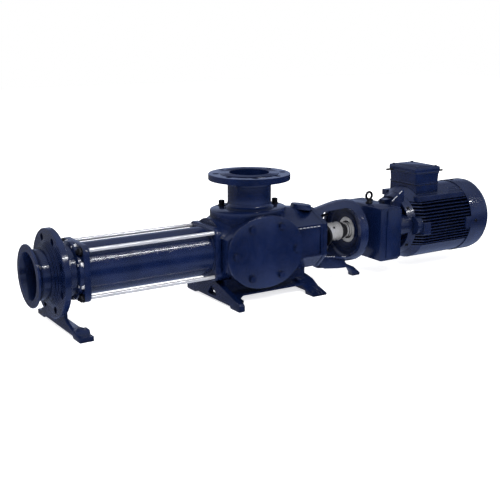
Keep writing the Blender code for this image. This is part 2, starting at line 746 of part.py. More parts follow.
def lantern_foot():
    block_part = plate(LANTERN_BLOCK, LANTERN_BLOCK_HALF_W * 2, FACE_Y, edge=0.0015)
    leg = plate(LANTERN_LEG, LANTERN_LEG_HALF_W * 2, FACE_Y, edge=0.0012)
    bell_room = turned(
        [(LANTERN_X0 - 0.02, LANTERN_OUTER[0][1] + GAP)] + [(x, r + GAP) for x, r in LANTERN_OUTER[1:-1]]
        + [(LANTERN_X1 + 0.02, LANTERN_OUTER[-2][1] + GAP)]
    )
    piece(cut(join(block_part, leg), bell_room), "lantern_foot")


def gland():
    x0 = LANTERN_X0 + 0.0078
    profile = [(x0, GLAND_STEPS[0][1])]
    for (depth, radius), (_, following) in zip(GLAND_STEPS, GLAND_STEPS[1:] + GLAND_STEPS[-1:]):
        profile.append((x0 + depth, radius))
        if following != radius:
            profile.append((x0 + depth + 0.002, following))
    bore = SHAFT_R + 0.0035
    piece(turned(profile, [(x0, bore), (x0 + GLAND_STEPS[-1][0], bore)], steps=32), "gland_follower")


def chamfered(span, radius, chamfer=0.0010):
    """Profile points of a cylinder over a span, its two rims chamfered."""
    x0, x1 = span
    return [(x0, radius - chamfer), (x0 + chamfer, radius), (x1 - chamfer, radius), (x1, radius - chamfer)]


def drive_shaft():
    """The shaft that turns in the lantern, with the clamp sleeve that joins it to the gearbox."""
    outer = [(LANTERN_X0 - 0.010, SHAFT_R), (SLEEVE_X[0], SHAFT_R)]
    outer += chamfered(SLEEVE_X, SLEEVE_R)
    outer += [(SLEEVE_X[1], SHAFT_NECK_R), (COLLAR_X[0], SHAFT_NECK_R)]
    outer += chamfered(COLLAR_X, COLLAR_R)
    outer += [(COLLAR_X[1], SHAFT_NECK_R), (GEARBOX_X0 - GAP, SHAFT_NECK_R)]
    piece(turned(outer), "drive_shaft", "stainless_steel")


def output_flange():
    """The round neck of the gearbox, and the bright disc that stands in the lantern's end round the shaft."""
    x0, x1 = OUTPUT_FLANGE[0][0], OUTPUT_FLANGE[-1][0]
    face, back = OUTPUT_DISC_X
    seat_r = OUTPUT_DISC_R + GAP
    bore = OUTPUT_DISC_BORE_R
    inner = [(x0, seat_r), (back + GAP, seat_r), (back + GAP, bore), (x1, bore)]
    piece(turned(list(OUTPUT_FLANGE), inner), "gearbox_output_flange")
    disc = [(face, OUTPUT_DISC_R - 0.001), (face + 0.001, OUTPUT_DISC_R), (back, OUTPUT_DISC_R)]
    piece(turned(disc, [(face, bore), (back, bore)]), "output_disc", "stainless_steel")


def gearbox():
    outline = rounded((GEARBOX_X1 - GEARBOX_X0) / 2, GEARBOX_HALF_W, GEARBOX_CORNER_R, count=4)
    middle = ((GEARBOX_X0 + GEARBOX_X1) / 2, 0, (GEARBOX_LOW_Z + GEARBOX_TOP_Z) / 2)
    box = plate(outline, GEARBOX_TOP_Z - GEARBOX_LOW_Z, FACE_Z, middle, edge=GEARBOX_EDGE)
    piece(box, "gearbox_housing")


def eye_bolt():
    z = GEARBOX_TOP_Z + GAP
    x, y = EYE_PLACE
    steps = ((z, 0.0085), (z + 0.004, 0.0085), (z + 0.009, 0.0050), (z + 0.0125, 0.0045))
    collar = turned(list(steps), turn=ALONG_Z, place=(x, y, 0), steps=16)
    ring = bpy.data.curves.new("ring", "CURVE")
    ring.dimensions = "3D"
    ring.bevel_depth = EYE_WIRE_R
    ring.bevel_resolution = 2
    spline = ring.splines.new("POLY")
    spline.points.add(23)
    for point, (u, v) in zip(spline.points, circle(EYE_RING_R, 24)):
        point.co = (u, v, 0, 1)
    spline.use_cyclic_u = True
    loop = mesh_of(add("ring", ring, (x, y, z + EYE_RING_Z), FACE_Y))
    piece(join(collar, loop), "eye_bolt", "black_steel")


def oil_plug():
    z = GEARBOX_TOP_Z + GAP
    profile = [(z, 0.0065), (z + 0.003, 0.0065), (z + 0.0045, 0.0050)]
    piece(turned(profile, turn=ALONG_Z, place=(*PLUG_PLACE, 0), steps=16), "oil_plug", "black_steel")


def motor_adapter():
    x0 = GEARBOX_X1 + GAP
    length = ADAPTER_X1 - x0
    middle = ((x0 + ADAPTER_X1) / 2, 0, 0)
    hub = turned([(x0, ADAPTER_HUB_R), (ADAPTER_X1, ADAPTER_HUB_R)])
    bore = ADAPTER_RING_BORE_R
    ring = turned(list(ADAPTER_RING), [(ADAPTER_RING[0][0], bore), (ADAPTER_X1, bore)])
    sides = [(-ADAPTER_ARM_Y, ADAPTER_ARM_Z), (ADAPTER_ARM_Y, ADAPTER_ARM_Z)]
    arms = rods(sides, ADAPTER_ARM_R, length, FACE_X, middle, 32)
    rib = plate(ADAPTER_RIB, ADAPTER_RIB_T, FACE_Y, (0, ADAPTER_RIB_Y, 0))
    half = ADAPTER_SPOKE_T / 2
    spoke = block((x0, -half, -ADAPTER_SPOKE_Z), (ADAPTER_X1, half, ADAPTER_SPOKE_Z))
    piece(join(hub, ring, arms, rib, spoke), "motor_adapter")


def side_bosses(x0, x1):
    """The level round bosses that run on from the adapter's arms along the motor."""
    sides = [(-LUG_BOSS_Y, ADAPTER_ARM_Z), (LUG_BOSS_Y, ADAPTER_ARM_Z)]
    return rods(sides, LUG_BOSS_R, x1 - x0, FACE_X, ((x0 + x1) / 2, 0, 0), 32)


def end_shield():
    x0 = ADAPTER_X1 + GAP
    x1 = x0 + SHIELD_T
    disc = turned([(x0, SHIELD_R[0]), (x1, SHIELD_R[1])])
    piece(join(disc, side_bosses(x0, x1)), "motor_end_shield")


def motor_frame():
    """The finned frame: level fins down both sides, a smooth band above and below them."""
    length = FRAME_X1 - FRAME_X0
    middle = ((FRAME_X0 + FRAME_X1) / 2, 0, 0)
    core = turned([(FRAME_X0, FRAME_R), (FRAME_X1, FRAME_R)])
    low, high = [MOTOR_R * math.sin(math.radians(angle)) for angle in FIN_ANGLES]
    count = int((high - low) / FIN_PITCH) + 1
    solids = []
    for i in range(count):
        z = low + (i + 0.5) * (high - low) / count
        reach = math.sqrt(MOTOR_R ** 2 - z ** 2)
        solids.append(block((FRAME_X0, -reach, z - FIN_T / 2), (FRAME_X1, reach, z + FIN_T / 2)))
    for start, end in ((FIN_ANGLES[1], 180 - FIN_ANGLES[1]), (180 - FIN_ANGLES[0], 360 + FIN_ANGLES[0])):
        angles = [math.radians(start + (end - start) * k / BAND_STEPS) for k in range(BAND_STEPS + 1)]
        band = [(MOTOR_R * math.cos(a), MOTOR_R * math.sin(a)) for a in angles]
        solids.append(plate(band, length, FACE_X, middle))
    taper = [(FRAME_X0 + x, r) for x, r in FRAME_TAPER]
    taper.append((FRAME_X1 + 0.02, FRAME_TAPER[-1][1]))
    frame = combine(join(core, *solids), [turned(taper)], "INTERSECT")
    extras = [side_bosses(FRAME_X0, LUG_X[0] + 0.002)]
    for (x0, x1), ys, (z0, z1) in ((LUG_X, LUG_Y, LUG_Z), (SIDE_PAD_X, SIDE_PAD_Y, SIDE_PAD_Z)):
        for side in (-1, 1):
            near, far = sorted((side * ys[0], side * ys[1]))
            extras.append(block((x0, near, z0), (x1, far, z1), 0.0015, segments=1))
    piece(join(frame, *extras), "motor_frame")


def terminal_box():
    half_l, half_w = BOX_HALF_L - BOX_NECK_IN, BOX_HALF_W - BOX_NECK_IN
    neck = block((BOX_X - half_l, -half_w, 0.5 * MOTOR_R), (BOX_X + half_l, half_w, BOX_LOW_Z - GAP))
    frame_room = turned([(FRAME_X0, MOTOR_R + 2 * GAP), (FRAME_X1, MOTOR_R + 2 * GAP)], steps=72)
    piece(cut(neck, frame_room), "terminal_box_neck")
    outline = rounded(BOX_HALF_L, BOX_HALF_W, BOX_CORNER_R, count=4)
    box = plate(outline, BOX_SEAM_Z - BOX_LOW_Z, FACE_Z, (BOX_X, 0, (BOX_LOW_Z + BOX_SEAM_Z) / 2))
    for vert in box.data.vertices:
        if vert.co.z < 0:
            vert.co.x *= BOX_TAPER
            vert.co.y *= BOX_TAPER
    piece(box, "terminal_box")
    low = BOX_SEAM_Z + GAP
    lid = plate(outline, BOX_TOP_Z - low, FACE_Z, (BOX_X, 0, (low + BOX_TOP_Z) / 2), edge=0.0018)
    piece(lid, "terminal_box_lid")


def fan_cowl():
    piece(turned([(FRAME_X1 + GAP, COWL_R), *COWL]), "fan_cowl")


def build_pump():
    clear_scene()
    set_up()
    discharge_stub()
    loose_flange()
    discharge_casing()
    stator_clamp_plate()
    stator()
    tie_rods()
    suction_spool()
    body_end_plate()
    pump_body()
    inspection_cover()
    body_rim()
    top_pad()
    discharge_foot()
    main_foot()
    lantern()
    lantern_foot()
    gland()
    drive_shaft()
    output_flange()
    gearbox()
    eye_bolt()
    oil_plug()
    motor_adapter()
    end_shield()
    motor_frame()
    terminal_box()
    fan_cowl()


build_pump()
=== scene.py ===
"""The looks of the progressive cavity pump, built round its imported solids. Everything is in metres.

Numbers for pieces are distances from the point where the suction branch's centre line meets the pump
axis: x along the pump, y across it, z up. at() turns them into places in the row's frame. The near side
is the one that the camera sees, at negative y.
"""

import math

import bmesh
import bpy
from mathutils import Matrix, Vector


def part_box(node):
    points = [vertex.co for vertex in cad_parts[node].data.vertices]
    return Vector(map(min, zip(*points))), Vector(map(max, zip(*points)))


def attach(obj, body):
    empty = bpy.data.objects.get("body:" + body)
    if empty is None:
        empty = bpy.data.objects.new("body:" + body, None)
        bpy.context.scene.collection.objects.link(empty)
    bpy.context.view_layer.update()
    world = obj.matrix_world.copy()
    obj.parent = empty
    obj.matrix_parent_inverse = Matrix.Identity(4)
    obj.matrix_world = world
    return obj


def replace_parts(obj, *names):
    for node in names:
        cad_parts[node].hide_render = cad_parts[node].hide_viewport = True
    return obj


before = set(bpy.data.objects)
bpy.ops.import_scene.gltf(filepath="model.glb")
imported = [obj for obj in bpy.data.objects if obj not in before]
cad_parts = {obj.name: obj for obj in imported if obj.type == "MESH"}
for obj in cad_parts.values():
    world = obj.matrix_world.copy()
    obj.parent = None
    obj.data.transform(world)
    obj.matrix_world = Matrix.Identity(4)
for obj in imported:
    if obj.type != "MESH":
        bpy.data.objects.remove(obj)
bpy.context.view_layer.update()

SUCTION_X = -0.0969
AXIS_HEIGHT = 0.140

# Camera of the photograph
LENS = 66.81
SENSOR_WIDTH = 36
CLIP_END = 60
CAMERA_YAW = math.radians(57.562)
CAMERA_PITCH = math.radians(13.805)
CAMERA_PLACE = (-1.4101, -2.0701, 0.7249)

# Paint, metal and floor, linear colours
NAVY_DEEP = (0.0016, 0.0052, 0.026, 1)
NAVY = (0.0028, 0.0078, 0.037, 1)
NAVY_LIGHT = (0.0050, 0.0120, 0.052, 1)
STEEL = (0.90, 0.90, 0.91, 1)
STEEL_DARK = (0.42, 0.42, 0.44, 1)
BLACK = (0.006, 0.006, 0.008, 1)
BLACK_GREY = (0.020, 0.020, 0.024, 1)
FLOOR_GREY = (0.86, 0.86, 0.87, 1)
FLOOR_PALE = (0.90, 0.90, 0.91, 1)
WHITE = (1, 1, 1, 1)

# The sky that gloss mirrors. Its stops go from 0, straight below, to 1, straight above
SKY_UNDER = (0.20, 0.23, 0.32, 1)
SKY_DARK = (0.012, 0.016, 0.030, 1)
SKY_LOW = (0.24, 0.30, 0.49, 1)
SKY_MIDDLE = (0.08, 0.09, 0.14, 1)
SKY_TOP = (0.34, 0.40, 0.56, 1)
SKY_STOPS = ((0.22, SKY_LOW), (0.33, SKY_DARK), (0.47, SKY_DARK), (0.56, SKY_LOW), (0.74, SKY_MIDDLE))
SIDE_LIGHT_FROM = (-0.53, 0.80, 0.10)
SIDE_LIGHT_START = 0.2
SIDE_LIGHT_GAIN = 0.13

# The floor, the key light, and the strip lights as (name, x, length, power)
FLOOR_HALF = 8.0
FLOOR_GLOW = 0.70
KEY_PLACE = (-1.2, -2.4, 2.4)
KEY_AIM = (0.0, 0.0, 0.2)
KEY_SIZE = (1.6, 1.0)
KEY_POWER = 55
STRIP_Y, STRIP_Z = -2.1, 2.35
STRIP_AIM_Z = 0.15
STRIP_WIDTH = 0.06
STRIPS = (("tube_strip", 0.83, 1.25, 17), ("cowl_strip", 3.70, 0.35, 7))

# Directions, and the two sides as (sign of y, direction)
LEFT, RIGHT = (-1, 0, 0), (1, 0, 0)
NEAR, FAR = (0, -1, 0), (0, 1, 0)
UP = (0, 0, 1)
SIDES = ((-1, NEAR), (1, FAR))


def at(x, y, z):
    return Vector((x + SUCTION_X, y, z + AXIS_HEIGHT))


PUMP_CENTRE = Matrix.Translation(at(0, 0, 0))

# Scales and depths of the paint's textures
TONE_SCALE, ROUGH_SCALE = 14, 55
SKIN_SCALE, PEEL_SCALE = 420, 130
SKIN_DEPTH, PEEL_DEPTH, GROOVE_DEPTH = 0.00035, 0.0010, 0.0005
SKIN_STRENGTH = 0.8
# Painted shade in holes, seams and corners: its darkest tint and how far it reaches
CREVICE_SHADE = (0.20, 0.20, 0.20, 1)
CREVICE_REACH = 0.024

# Distance between the rings of a wave texture at scale 1
WAVE_PERIOD = 0.314


class Nodes:
    """Shorthand for building one material's node tree."""

    def __init__(self, name):
        self.material = bpy.data.materials.new(name)
        self.material.use_nodes = True
        self.tree = self.material.node_tree
        self.shader = self.tree.nodes["Principled BSDF"]
        self.coords = self.tree.nodes.new("ShaderNodeTexCoord").outputs["Object"]

    def link(self, out, to):
        self.tree.links.new(out, to)

    def feed(self, name, out):
        """Links an output to one of the shader's sockets."""
        self.link(out, self.shader.inputs[name])

    def fix(self, name, value):
        """Sets one of the shader's own sockets."""
        self.shader.inputs[name].default_value = value

    def scaled(self, scale):
        """Object coordinates stretched by a factor along each axis."""
        node = self.tree.nodes.new("ShaderNodeMapping")
        node.inputs["Scale"].default_value = scale
        self.link(self.coords, node.inputs["Vector"])
        return node.outputs["Vector"]

    def noise(self, scale, detail, vector=None, roughness=0.55):
        node = self.tree.nodes.new("ShaderNodeTexNoise")
        node.inputs["Scale"].default_value = scale
        node.inputs["Detail"].default_value = detail
        node.inputs["Roughness"].default_value = roughness
        self.link(vector or self.coords, node.inputs["Vector"])
        return node.outputs["Fac"]

    def ramp(self, fac, stops):
        node = self.tree.nodes.new("ShaderNodeValToRGB")
        low, high = node.color_ramp.elements
        low.position, low.color = stops[0]
        high.position, high.color = stops[-1]
        for place, colour in stops[1:-1]:
            node.color_ramp.elements.new(place).color = colour
        self.link(fac, node.inputs["Fac"])
        return node.outputs["Color"]

    def span(self, fac, low, high):
        """Maps the middle of a noise's values to a range."""
        node = self.tree.nodes.new("ShaderNodeMapRange")
        node.inputs["From Min"].default_value = 0.3
        node.inputs["From Max"].default_value = 0.7
        node.inputs["To Min"].default_value = low
        node.inputs["To Max"].default_value = high
        self.link(fac, node.inputs["Value"])
        return node.outputs["Result"]

    def painted_crevice_shade(self, colour, reach):
        """Darkens a colour with painted shade in holes, seams and inner corners."""
        node = self.tree.nodes.new("ShaderNodeAmbientOcclusion")
        node.samples = 8
        node.inputs["Distance"].default_value = reach
        mix = self.tree.nodes.new("ShaderNodeMix")
        mix.data_type = "RGBA"
        mix.blend_type = "MULTIPLY"
        mix.inputs["Factor"].default_value = 1.0
        self.link(colour, mix.inputs["A"])
        self.link(self.ramp(node.outputs["AO"], [(0.25, CREVICE_SHADE), (0.80, WHITE)]), mix.inputs["B"])
        return mix.outputs["Result"]

    def turned_rings(self, pitch):
        """A factor that rises and falls with the distance from the pump axis, as turned grooves do."""
        place = self.tree.nodes.new("ShaderNodeMapping")
        place.inputs["Location"].default_value = (0, 0, -AXIS_HEIGHT)
        self.link(self.coords, place.inputs["Vector"])
        wave = self.tree.nodes.new("ShaderNodeTexWave")
        wave.wave_type = "RINGS"
        wave.rings_direction = "X"
        wave.inputs["Scale"].default_value = WAVE_PERIOD / pitch
        self.link(place.outputs["Vector"], wave.inputs["Vector"])
        return wave.outputs["Fac"]

    def bump(self, height, distance, strength=1.0, below=None):
        node = self.tree.nodes.new("ShaderNodeBump")
        node.inputs["Distance"].default_value = distance
        node.inputs["Strength"].default_value = strength
        self.link(height, node.inputs["Height"])
        if below:
            self.link(below, node.inputs["Normal"])
        return node.outputs["Normal"]


def enamel(name, grain, rough, turned=0.0, reach=CREVICE_REACH):
    """Glossy navy paint, whose roughness varies a little round rough.

    grain is how much of the casting's skin shows through it. turned is the pitch of the tool's grooves
    round the pump axis, or 0 where there are none. reach is how far from a corner the painted shade
    darkens the paint.
    """
    n = Nodes(name)
    tone = n.ramp(n.noise(TONE_SCALE, 4), [(0.30, NAVY_DEEP), (0.52, NAVY), (0.75, NAVY_LIGHT)])
    # Painted shade darkens the tone in corners, holes and seams
    n.feed("Base Color", n.painted_crevice_shade(tone, reach))
    n.feed("Roughness", n.span(n.noise(ROUGH_SCALE, 3), rough - 0.04, rough + 0.09))
    skin = n.bump(n.noise(SKIN_SCALE, 2), SKIN_DEPTH * grain, SKIN_STRENGTH)
    peel = n.bump(n.noise(PEEL_SCALE, 3, roughness=0.6), PEEL_DEPTH * grain, SKIN_STRENGTH, skin)
    if turned:
        peel = n.bump(n.turned_rings(turned), GROOVE_DEPTH, 1.0, peel)
    n.feed("Normal", peel)
    n.fix("Specular IOR Level", 0.55)
    n.fix("Coat Weight", 0.6)
    n.fix("Coat Roughness", 0.07)
    return n.material


def bright_steel(name, stretch=(2, 90, 90), rough=0.16, metal=0.6):
    """Polished steel with fine lines along the axes that stretch leaves small.

    metal is under 1 because the bare steel is bright from every side, as in a white room.
    """
    n = Nodes(name)
    lines = n.noise(18, 4, n.scaled(stretch))
    n.feed("Base Color", n.ramp(lines, [(0.25, STEEL_DARK), (0.6, STEEL)]))
    n.feed("Roughness", n.span(lines, rough - 0.05, rough + 0.12))
    n.feed("Normal", n.bump(lines, 0.00006))
    n.fix("Metallic", metal)
    return n.material


def black_oxide(name):
    n = Nodes(name)
    tone = n.noise(260, 3)
    n.feed("Base Color", n.ramp(tone, [(0.3, BLACK), (0.75, BLACK_GREY)]))
    n.feed("Roughness", n.span(tone, 0.28, 0.48))
    n.feed("Normal", n.bump(n.noise(900, 2), 0.00008))
    n.fix("Metallic", 0.6)
    return n.material


def rubber(name):
    n = Nodes(name)
    n.feed("Base Color", n.ramp(n.noise(40, 4), [(0.3, BLACK), (0.7, BLACK_GREY)]))
    n.feed("Normal", n.bump(n.noise(500, 3), 0.0003))
    n.fix("Roughness", 0.72)
    return n.material


def pale_floor(name):
    """A matt floor whose faint glow lifts the shadows on it."""
    n = Nodes(name)
    n.feed("Base Color", n.ramp(n.noise(1.5, 3), [(0.3, FLOOR_GREY), (0.7, FLOOR_PALE)]))
    n.fix("Roughness", 0.9)
    n.fix("Specular IOR Level", 0.0)
    n.fix("Emission Color", WHITE)
    n.fix("Emission Strength", FLOOR_GLOW)
    return n.material


CAST = enamel("cast_enamel", grain=1.0, rough=0.18)
SMOOTH = enamel("smooth_enamel", grain=0.30, rough=0.16)
TURNED = enamel("turned_enamel", grain=0.30, rough=0.16, turned=0.0036)
# The bore's enamel carries painted shade that reaches far, darkening it deep inside
BORE = enamel("bore_enamel", grain=0.30, rough=0.16, reach=0.120)
TUBE = enamel("tube_enamel", grain=0.80, rough=0.10)
FINE = enamel("motor_enamel", grain=0.50, rough=0.28)
ROD_STEEL = bright_steel("rod_steel", metal=0.64)
SHAFT_STEEL = bright_steel("shaft_steel", stretch=(160, 2, 2))
BOLT_STEEL = bright_steel("bolt_steel", stretch=(30, 30, 30), rough=0.24)
OXIDE = black_oxide("black_oxide")
RUBBER = rubber("nitrile_rubber")
DULL_BLACK = rubber("black_plastic")

# Looks of the solids that are not plain castings
NODE_LOOKS = {
    "stator_tube": TUBE, "stator_lining": RUBBER, "eye_bolt": OXIDE, "oil_plug": OXIDE,
    "drive_shaft": SHAFT_STEEL, "output_disc": SHAFT_STEEL,
    "tie_rod_1": ROD_STEEL, "tie_rod_2": ROD_STEEL, "tie_rod_3": ROD_STEEL, "tie_rod_4": ROD_STEEL,
    "discharge_stub": BORE, "loose_flange": TURNED, "suction_spool": SMOOTH, "inspection_cover": SMOOTH,
    "gearbox_housing": SMOOTH, "motor_frame": FINE, "motor_end_shield": FINE, "motor_adapter": FINE,
    "terminal_box": SMOOTH, "terminal_box_lid": SMOOTH, "terminal_box_neck": SMOOTH, "fan_cowl": FINE,
}

# Merging distance, the angle from which an edge is sharp, and widths of the solids' rounded edges
WELD = 0.00012
SHARP = math.radians(32)
SOFT_EDGES = {
    "inspection_cover": 0.0012, "gearbox_housing": 0.0012, "terminal_box": 0.0012,
    "terminal_box_lid": 0.0016, "terminal_box_neck": 0.0008, "discharge_stub": 0.0006,
    "stator_clamp_plate": 0.0012, "body_end_plate": 0.0012, "body_rim": 0.0012, "top_pad": 0.0008,
    "discharge_foot": 0.0008, "main_foot": 0.0010, "lantern_foot": 0.0008, "pump_body": 0.0010,
    "motor_adapter": 0.0012, "motor_end_shield": 0.0010,
}


def weld_and_smooth():
    """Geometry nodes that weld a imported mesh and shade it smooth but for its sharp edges."""
    tree = bpy.data.node_groups.new("weld_and_smooth", "GeometryNodeTree")
    tree.interface.new_socket("Geometry", in_out="INPUT", socket_type="NodeSocketGeometry")
    tree.interface.new_socket("Geometry", in_out="OUTPUT", socket_type="NodeSocketGeometry")
    start = tree.nodes.new("NodeGroupInput")
    merge = tree.nodes.new("GeometryNodeMergeByDistance")
    merge.inputs["Distance"].default_value = WELD
    angle = tree.nodes.new("GeometryNodeInputMeshEdgeAngle")
    sharp = tree.nodes.new("FunctionNodeCompare")
    sharp.operation = "GREATER_THAN"
    sharp.inputs["B"].default_value = SHARP
    normals = tree.nodes.new("GeometryNodeSetMeshNormal")
    normals.mode = "SHARPNESS"
    end = tree.nodes.new("NodeGroupOutput")
    tree.links.new(start.outputs[0], merge.inputs["Geometry"])
    tree.links.new(merge.outputs["Geometry"], normals.inputs["Mesh"])
    tree.links.new(angle.outputs["Unsigned Angle"], sharp.inputs["A"])
    tree.links.new(sharp.outputs["Result"], normals.inputs["Edge Sharpness"])
    tree.links.new(normals.outputs["Mesh"], end.inputs[0])
    return tree


def finish_solids():
    """Paints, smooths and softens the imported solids."""
    smoothing = weld_and_smooth()
    for name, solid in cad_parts.items():
        for place in solid.material_slots:
            place.material = NODE_LOOKS.get(name, CAST)
        solid.modifiers.new("smoothing", "NODES").node_group = smoothing
        if name in SOFT_EDGES:
            bevel = solid.modifiers.new("soft_edges", "BEVEL")
            bevel.width = SOFT_EDGES[name]
            bevel.segments = 2
            bevel.limit_method = "ANGLE"
            bevel.angle_limit = SHARP
            bevel.harden_normals = True


def ring(radius, height, count=24, sides=0):
    """Points round a circle at a height, or round a polygon whose flats lie at the radius."""
    points = []
    for i in range(count):
        angle = 2 * math.pi * i / count
        reach = radius
        if sides:
            step = 2 * math.pi / sides
            reach = radius / math.cos(angle % step - step / 2)
        points.append((reach * math.cos(angle), reach * math.sin(angle), height))
    return points


def stack(profile, count=24):
    """Rings for a solid turned body, from its (radius, height) profile."""
    return [ring(radius, height, count) for radius, height in profile]


def bead_section(radius, height, wire, count):
    """The round section of a ring of wire, as a profile of (radius, height)."""
    angles = [2 * math.pi * i / count for i in range(count)]
    return [(radius + wire * math.cos(angle), height + wire * math.sin(angle)) for angle in angles]


def across(radius, degrees):
    """The y and z of a point round the pump axis, counted from the far side upwards."""
    angle = math.radians(degrees)
    return radius * math.cos(angle), radius * math.sin(angle)


def facing(place, direction):
    """The matrix that stands a fastener at a place with its head towards a direction."""
    turn = Vector(direction).to_track_quat("Z", "Y").to_matrix().to_4x4()
    return Matrix.Translation(at(*place)) @ turn


class Maker:
    """Collects closed bodies in one mesh, and makes it a piece of the pump."""

    def __init__(self, name, look, slot, body="pump"):
        self.name, self.look, self.slot, self.body = name, look, slot, body
        self.build = bmesh.new()

    def rings(self, rings, place=Matrix(), wrap=False):
        """Joins rings of points by quads and caps the ends, or joins the last to the first."""
        made = [[self.build.verts.new(place @ Vector(p)) for p in points] for points in rings]
        count = len(made[0])
        for low, high in zip(made, made[1:] + made[:1] if wrap else made[1:]):
            for i in range(count):
                after = (i + 1) % count
                self.build.faces.new((low[i], low[after], high[after], high[i]))
        if not wrap:
            self.build.faces.new(made[0][::-1])
            self.build.faces.new(made[-1])

    def lathe(self, profile, place, count):
        """Turns a closed profile of (radius, height) that leaves a bore round its axis."""
        self.rings(stack(profile, count), place, wrap=True)

    def piece(self, angle=35):
        bmesh.ops.recalc_face_normals(self.build, faces=self.build.faces)
        mesh = bpy.data.meshes.new(self.name)
        self.build.to_mesh(mesh)
        self.build.free()
        mesh.shade_smooth()
        mesh.set_sharp_from_angle(angle=math.radians(angle))
        mesh.materials.append(self.look)
        obj = bpy.data.objects.new(self.name, mesh)
        bpy.context.scene.collection.objects.link(obj)
        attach(obj, self.body)
        return obj


def cap_screw(maker, place, direction, radius, height):
    """A socket cap screw with a six-sided recess."""
    rim = 0.12 * radius
    socket = 0.52 * radius
    rings = stack([(radius * 0.97, 0), (radius, rim), (radius, height - rim), (radius - rim, height)])
    rings += [ring(socket, height, sides=6), ring(socket, height * 0.45, sides=6)]
    maker.rings(rings, facing(place, direction))


def washer(maker, place, direction, radius, thickness):
    profile = [(radius, 0), (radius, thickness * 0.7), (radius * 0.97, thickness)]
    maker.rings(stack(profile), facing(place, direction))


def hex_bolt(maker, place, direction, flat, height, stud=0.0, turn=0.0):
    """A hexagon head on its washer, with a threaded end if stud is above 0."""
    base = facing(place, direction) @ Matrix.Rotation(turn, 4, "Z")
    sheet = 0.22 * height
    top = height + sheet
    maker.rings(stack([(flat * 1.28, 0), (flat * 1.28, sheet * 0.8), (flat * 1.24, sheet)]), base)
    rings = [
        ring(flat * 0.98, sheet), ring(flat, sheet + 0.1 * height, sides=6),
        ring(flat, 0.86 * height + sheet, sides=6), ring(flat * 0.97, top),
    ]
    if stud:
        core = flat * 0.60
        rings.append(ring(core, top))
        for i in range(1, 7):
            rings.append(ring(core * (0.93 if i % 2 else 1.0), top + stud * i / 7))
        rings.append(ring(core * 0.86, top + stud))
    else:
        rings.append(ring(flat * 0.7, top + 0.0002))
    maker.rings(rings, base)


def rounded(half_u, half_v, radius, count=5):
    """Points round a rectangle with rounded corners."""
    points = []
    for corner in range(4):
        middle_u = (half_u - radius) * (1 if corner in (0, 3) else -1)
        middle_v = (half_v - radius) * (1 if corner in (0, 1) else -1)
        for i in range(count + 1):
            angle = math.pi / 2 * (corner + i / count)
            points.append((middle_u + radius * math.cos(angle), middle_v + radius * math.sin(angle)))
    return points


def box_rings(half, radius, section):
    """Rings round a box, from a section of (margin past its walls, height)."""
    rings = []
    for margin, height in section:
        outline = rounded(half[0] + margin, half[1] + margin, radius + margin)
        rings.append([(u, v, height) for u, v in outline])
    return rings


def slab(maker, place, direction, half, thickness, radius, edge=0.0008):
    """A flat plate with rounded corners and a chamfered edge, lying on a face."""
    section = ((0, 0), (0, thickness - edge), (-edge * 0.3, thickness - edge * 0.3), (-edge, thickness))
    maker.rings(box_rings(half, radius, section), facing(place, direction))


def lip(maker, place, half, radius, height, out):
    """A band round a box whose walls stand at half from the place, its edges rounded."""
    root = -0.001
    section = (
        (root, 0), (out * 0.6, 0), (out, height * 0.25), (out, height * 0.75), (out * 0.6, height),
        (root, height),
    )
    maker.rings(box_rings(half, radius, section), facing(place, UP), wrap=True)


def tube(maker, points, radius, count=10):
    """A round bar along points, in the pump's own distances."""
    rings = []
    for i, point in enumerate(points):
        before, after = points[max(i - 1, 0)], points[min(i + 1, len(points) - 1)]
        along = (Vector(after) - Vector(before)).normalized()
        turn = along.to_track_quat("Z", "Y").to_matrix().to_4x4()
        base = Matrix.Translation(at(*point)) @ turn
        rings.append([base @ Vector(p) for p in ring(radius, 0, count)])
    maker.rings(rings)


def weld(maker, place, direction, radius, width, count=144):
    """A rippled weld bead round a pipe."""
    rings = []
    for i in range(count):
        angle = 2 * math.pi * i / count
        ripple = 0.13 * math.sin(i * math.pi / 2)
        unevenness = 0.06 * math.sin(i * 0.9)
        swell = 1 + ripple + unevenness
        out = Vector((math.cos(angle), math.sin(angle), 0))
        points = []
        for k in range(8):
            bend = 2 * math.pi * k / 8
            lift = Vector((0, 0, width * math.sin(bend)))
            points.append(out * (radius + width * swell * math.cos(bend)) + lift)
        rings.append(points)
    maker.rings(rings, facing(place, direction), wrap=True)


# Inspection cover
COVER_X, COVER_FACE_Y = -0.0136, -0.1070
COVER_BOLTS = (
    (0.094, 0), (-0.094, 0), (0.0457, 0.066), (0.0457, -0.066), (-0.0457, 0.066), (-0.0457, -0.066),
)
COVER_BOLT_FLAT, COVER_BOLT_H, COVER_BOLT_TURN = 0.0076, 0.0080, 9


def cover_bolts():
    """Bolts of the inspection cover, each head turned by its place along the pump."""
    maker = Maker("cover_bolts", CAST, "inspection_cover_finish")
    for u, v in COVER_BOLTS:
        place = (COVER_X + u, COVER_FACE_Y, v)
        hex_bolt(maker, place, NEAR, COVER_BOLT_FLAT, COVER_BOLT_H, turn=u * COVER_BOLT_TURN)
    maker.piece()


# Suction branch
BASE_SCREWS = ((-0.0520, 0.0580), (0.0300, 0.0680), (0.0863, 0.0060))
BASE_TOP_Z = 0.1030
BASE_WASHER_R, BASE_WASHER_T = 0.0105, 0.0016
BASE_SCREW_R, BASE_SCREW_H = 0.0082, 0.0125
NECK_R = 0.0585
FILLET_DEPTH, FILLET_STRETCH = 0.0020, 1.5
FILLETS = ((0.1777, -1, 0.0110), (0.1076, 1, 0.0075))
FACE_INNER_R, FACE_OUTER_R, FACE_ROOT_Z = 0.0548, 0.0782, 0.1960
GROOVES, GROOVE_PITCH = 26, 0.0009
GROOVE_LOW_Z, GROOVE_HIGH_Z = 0.1965, 0.1968


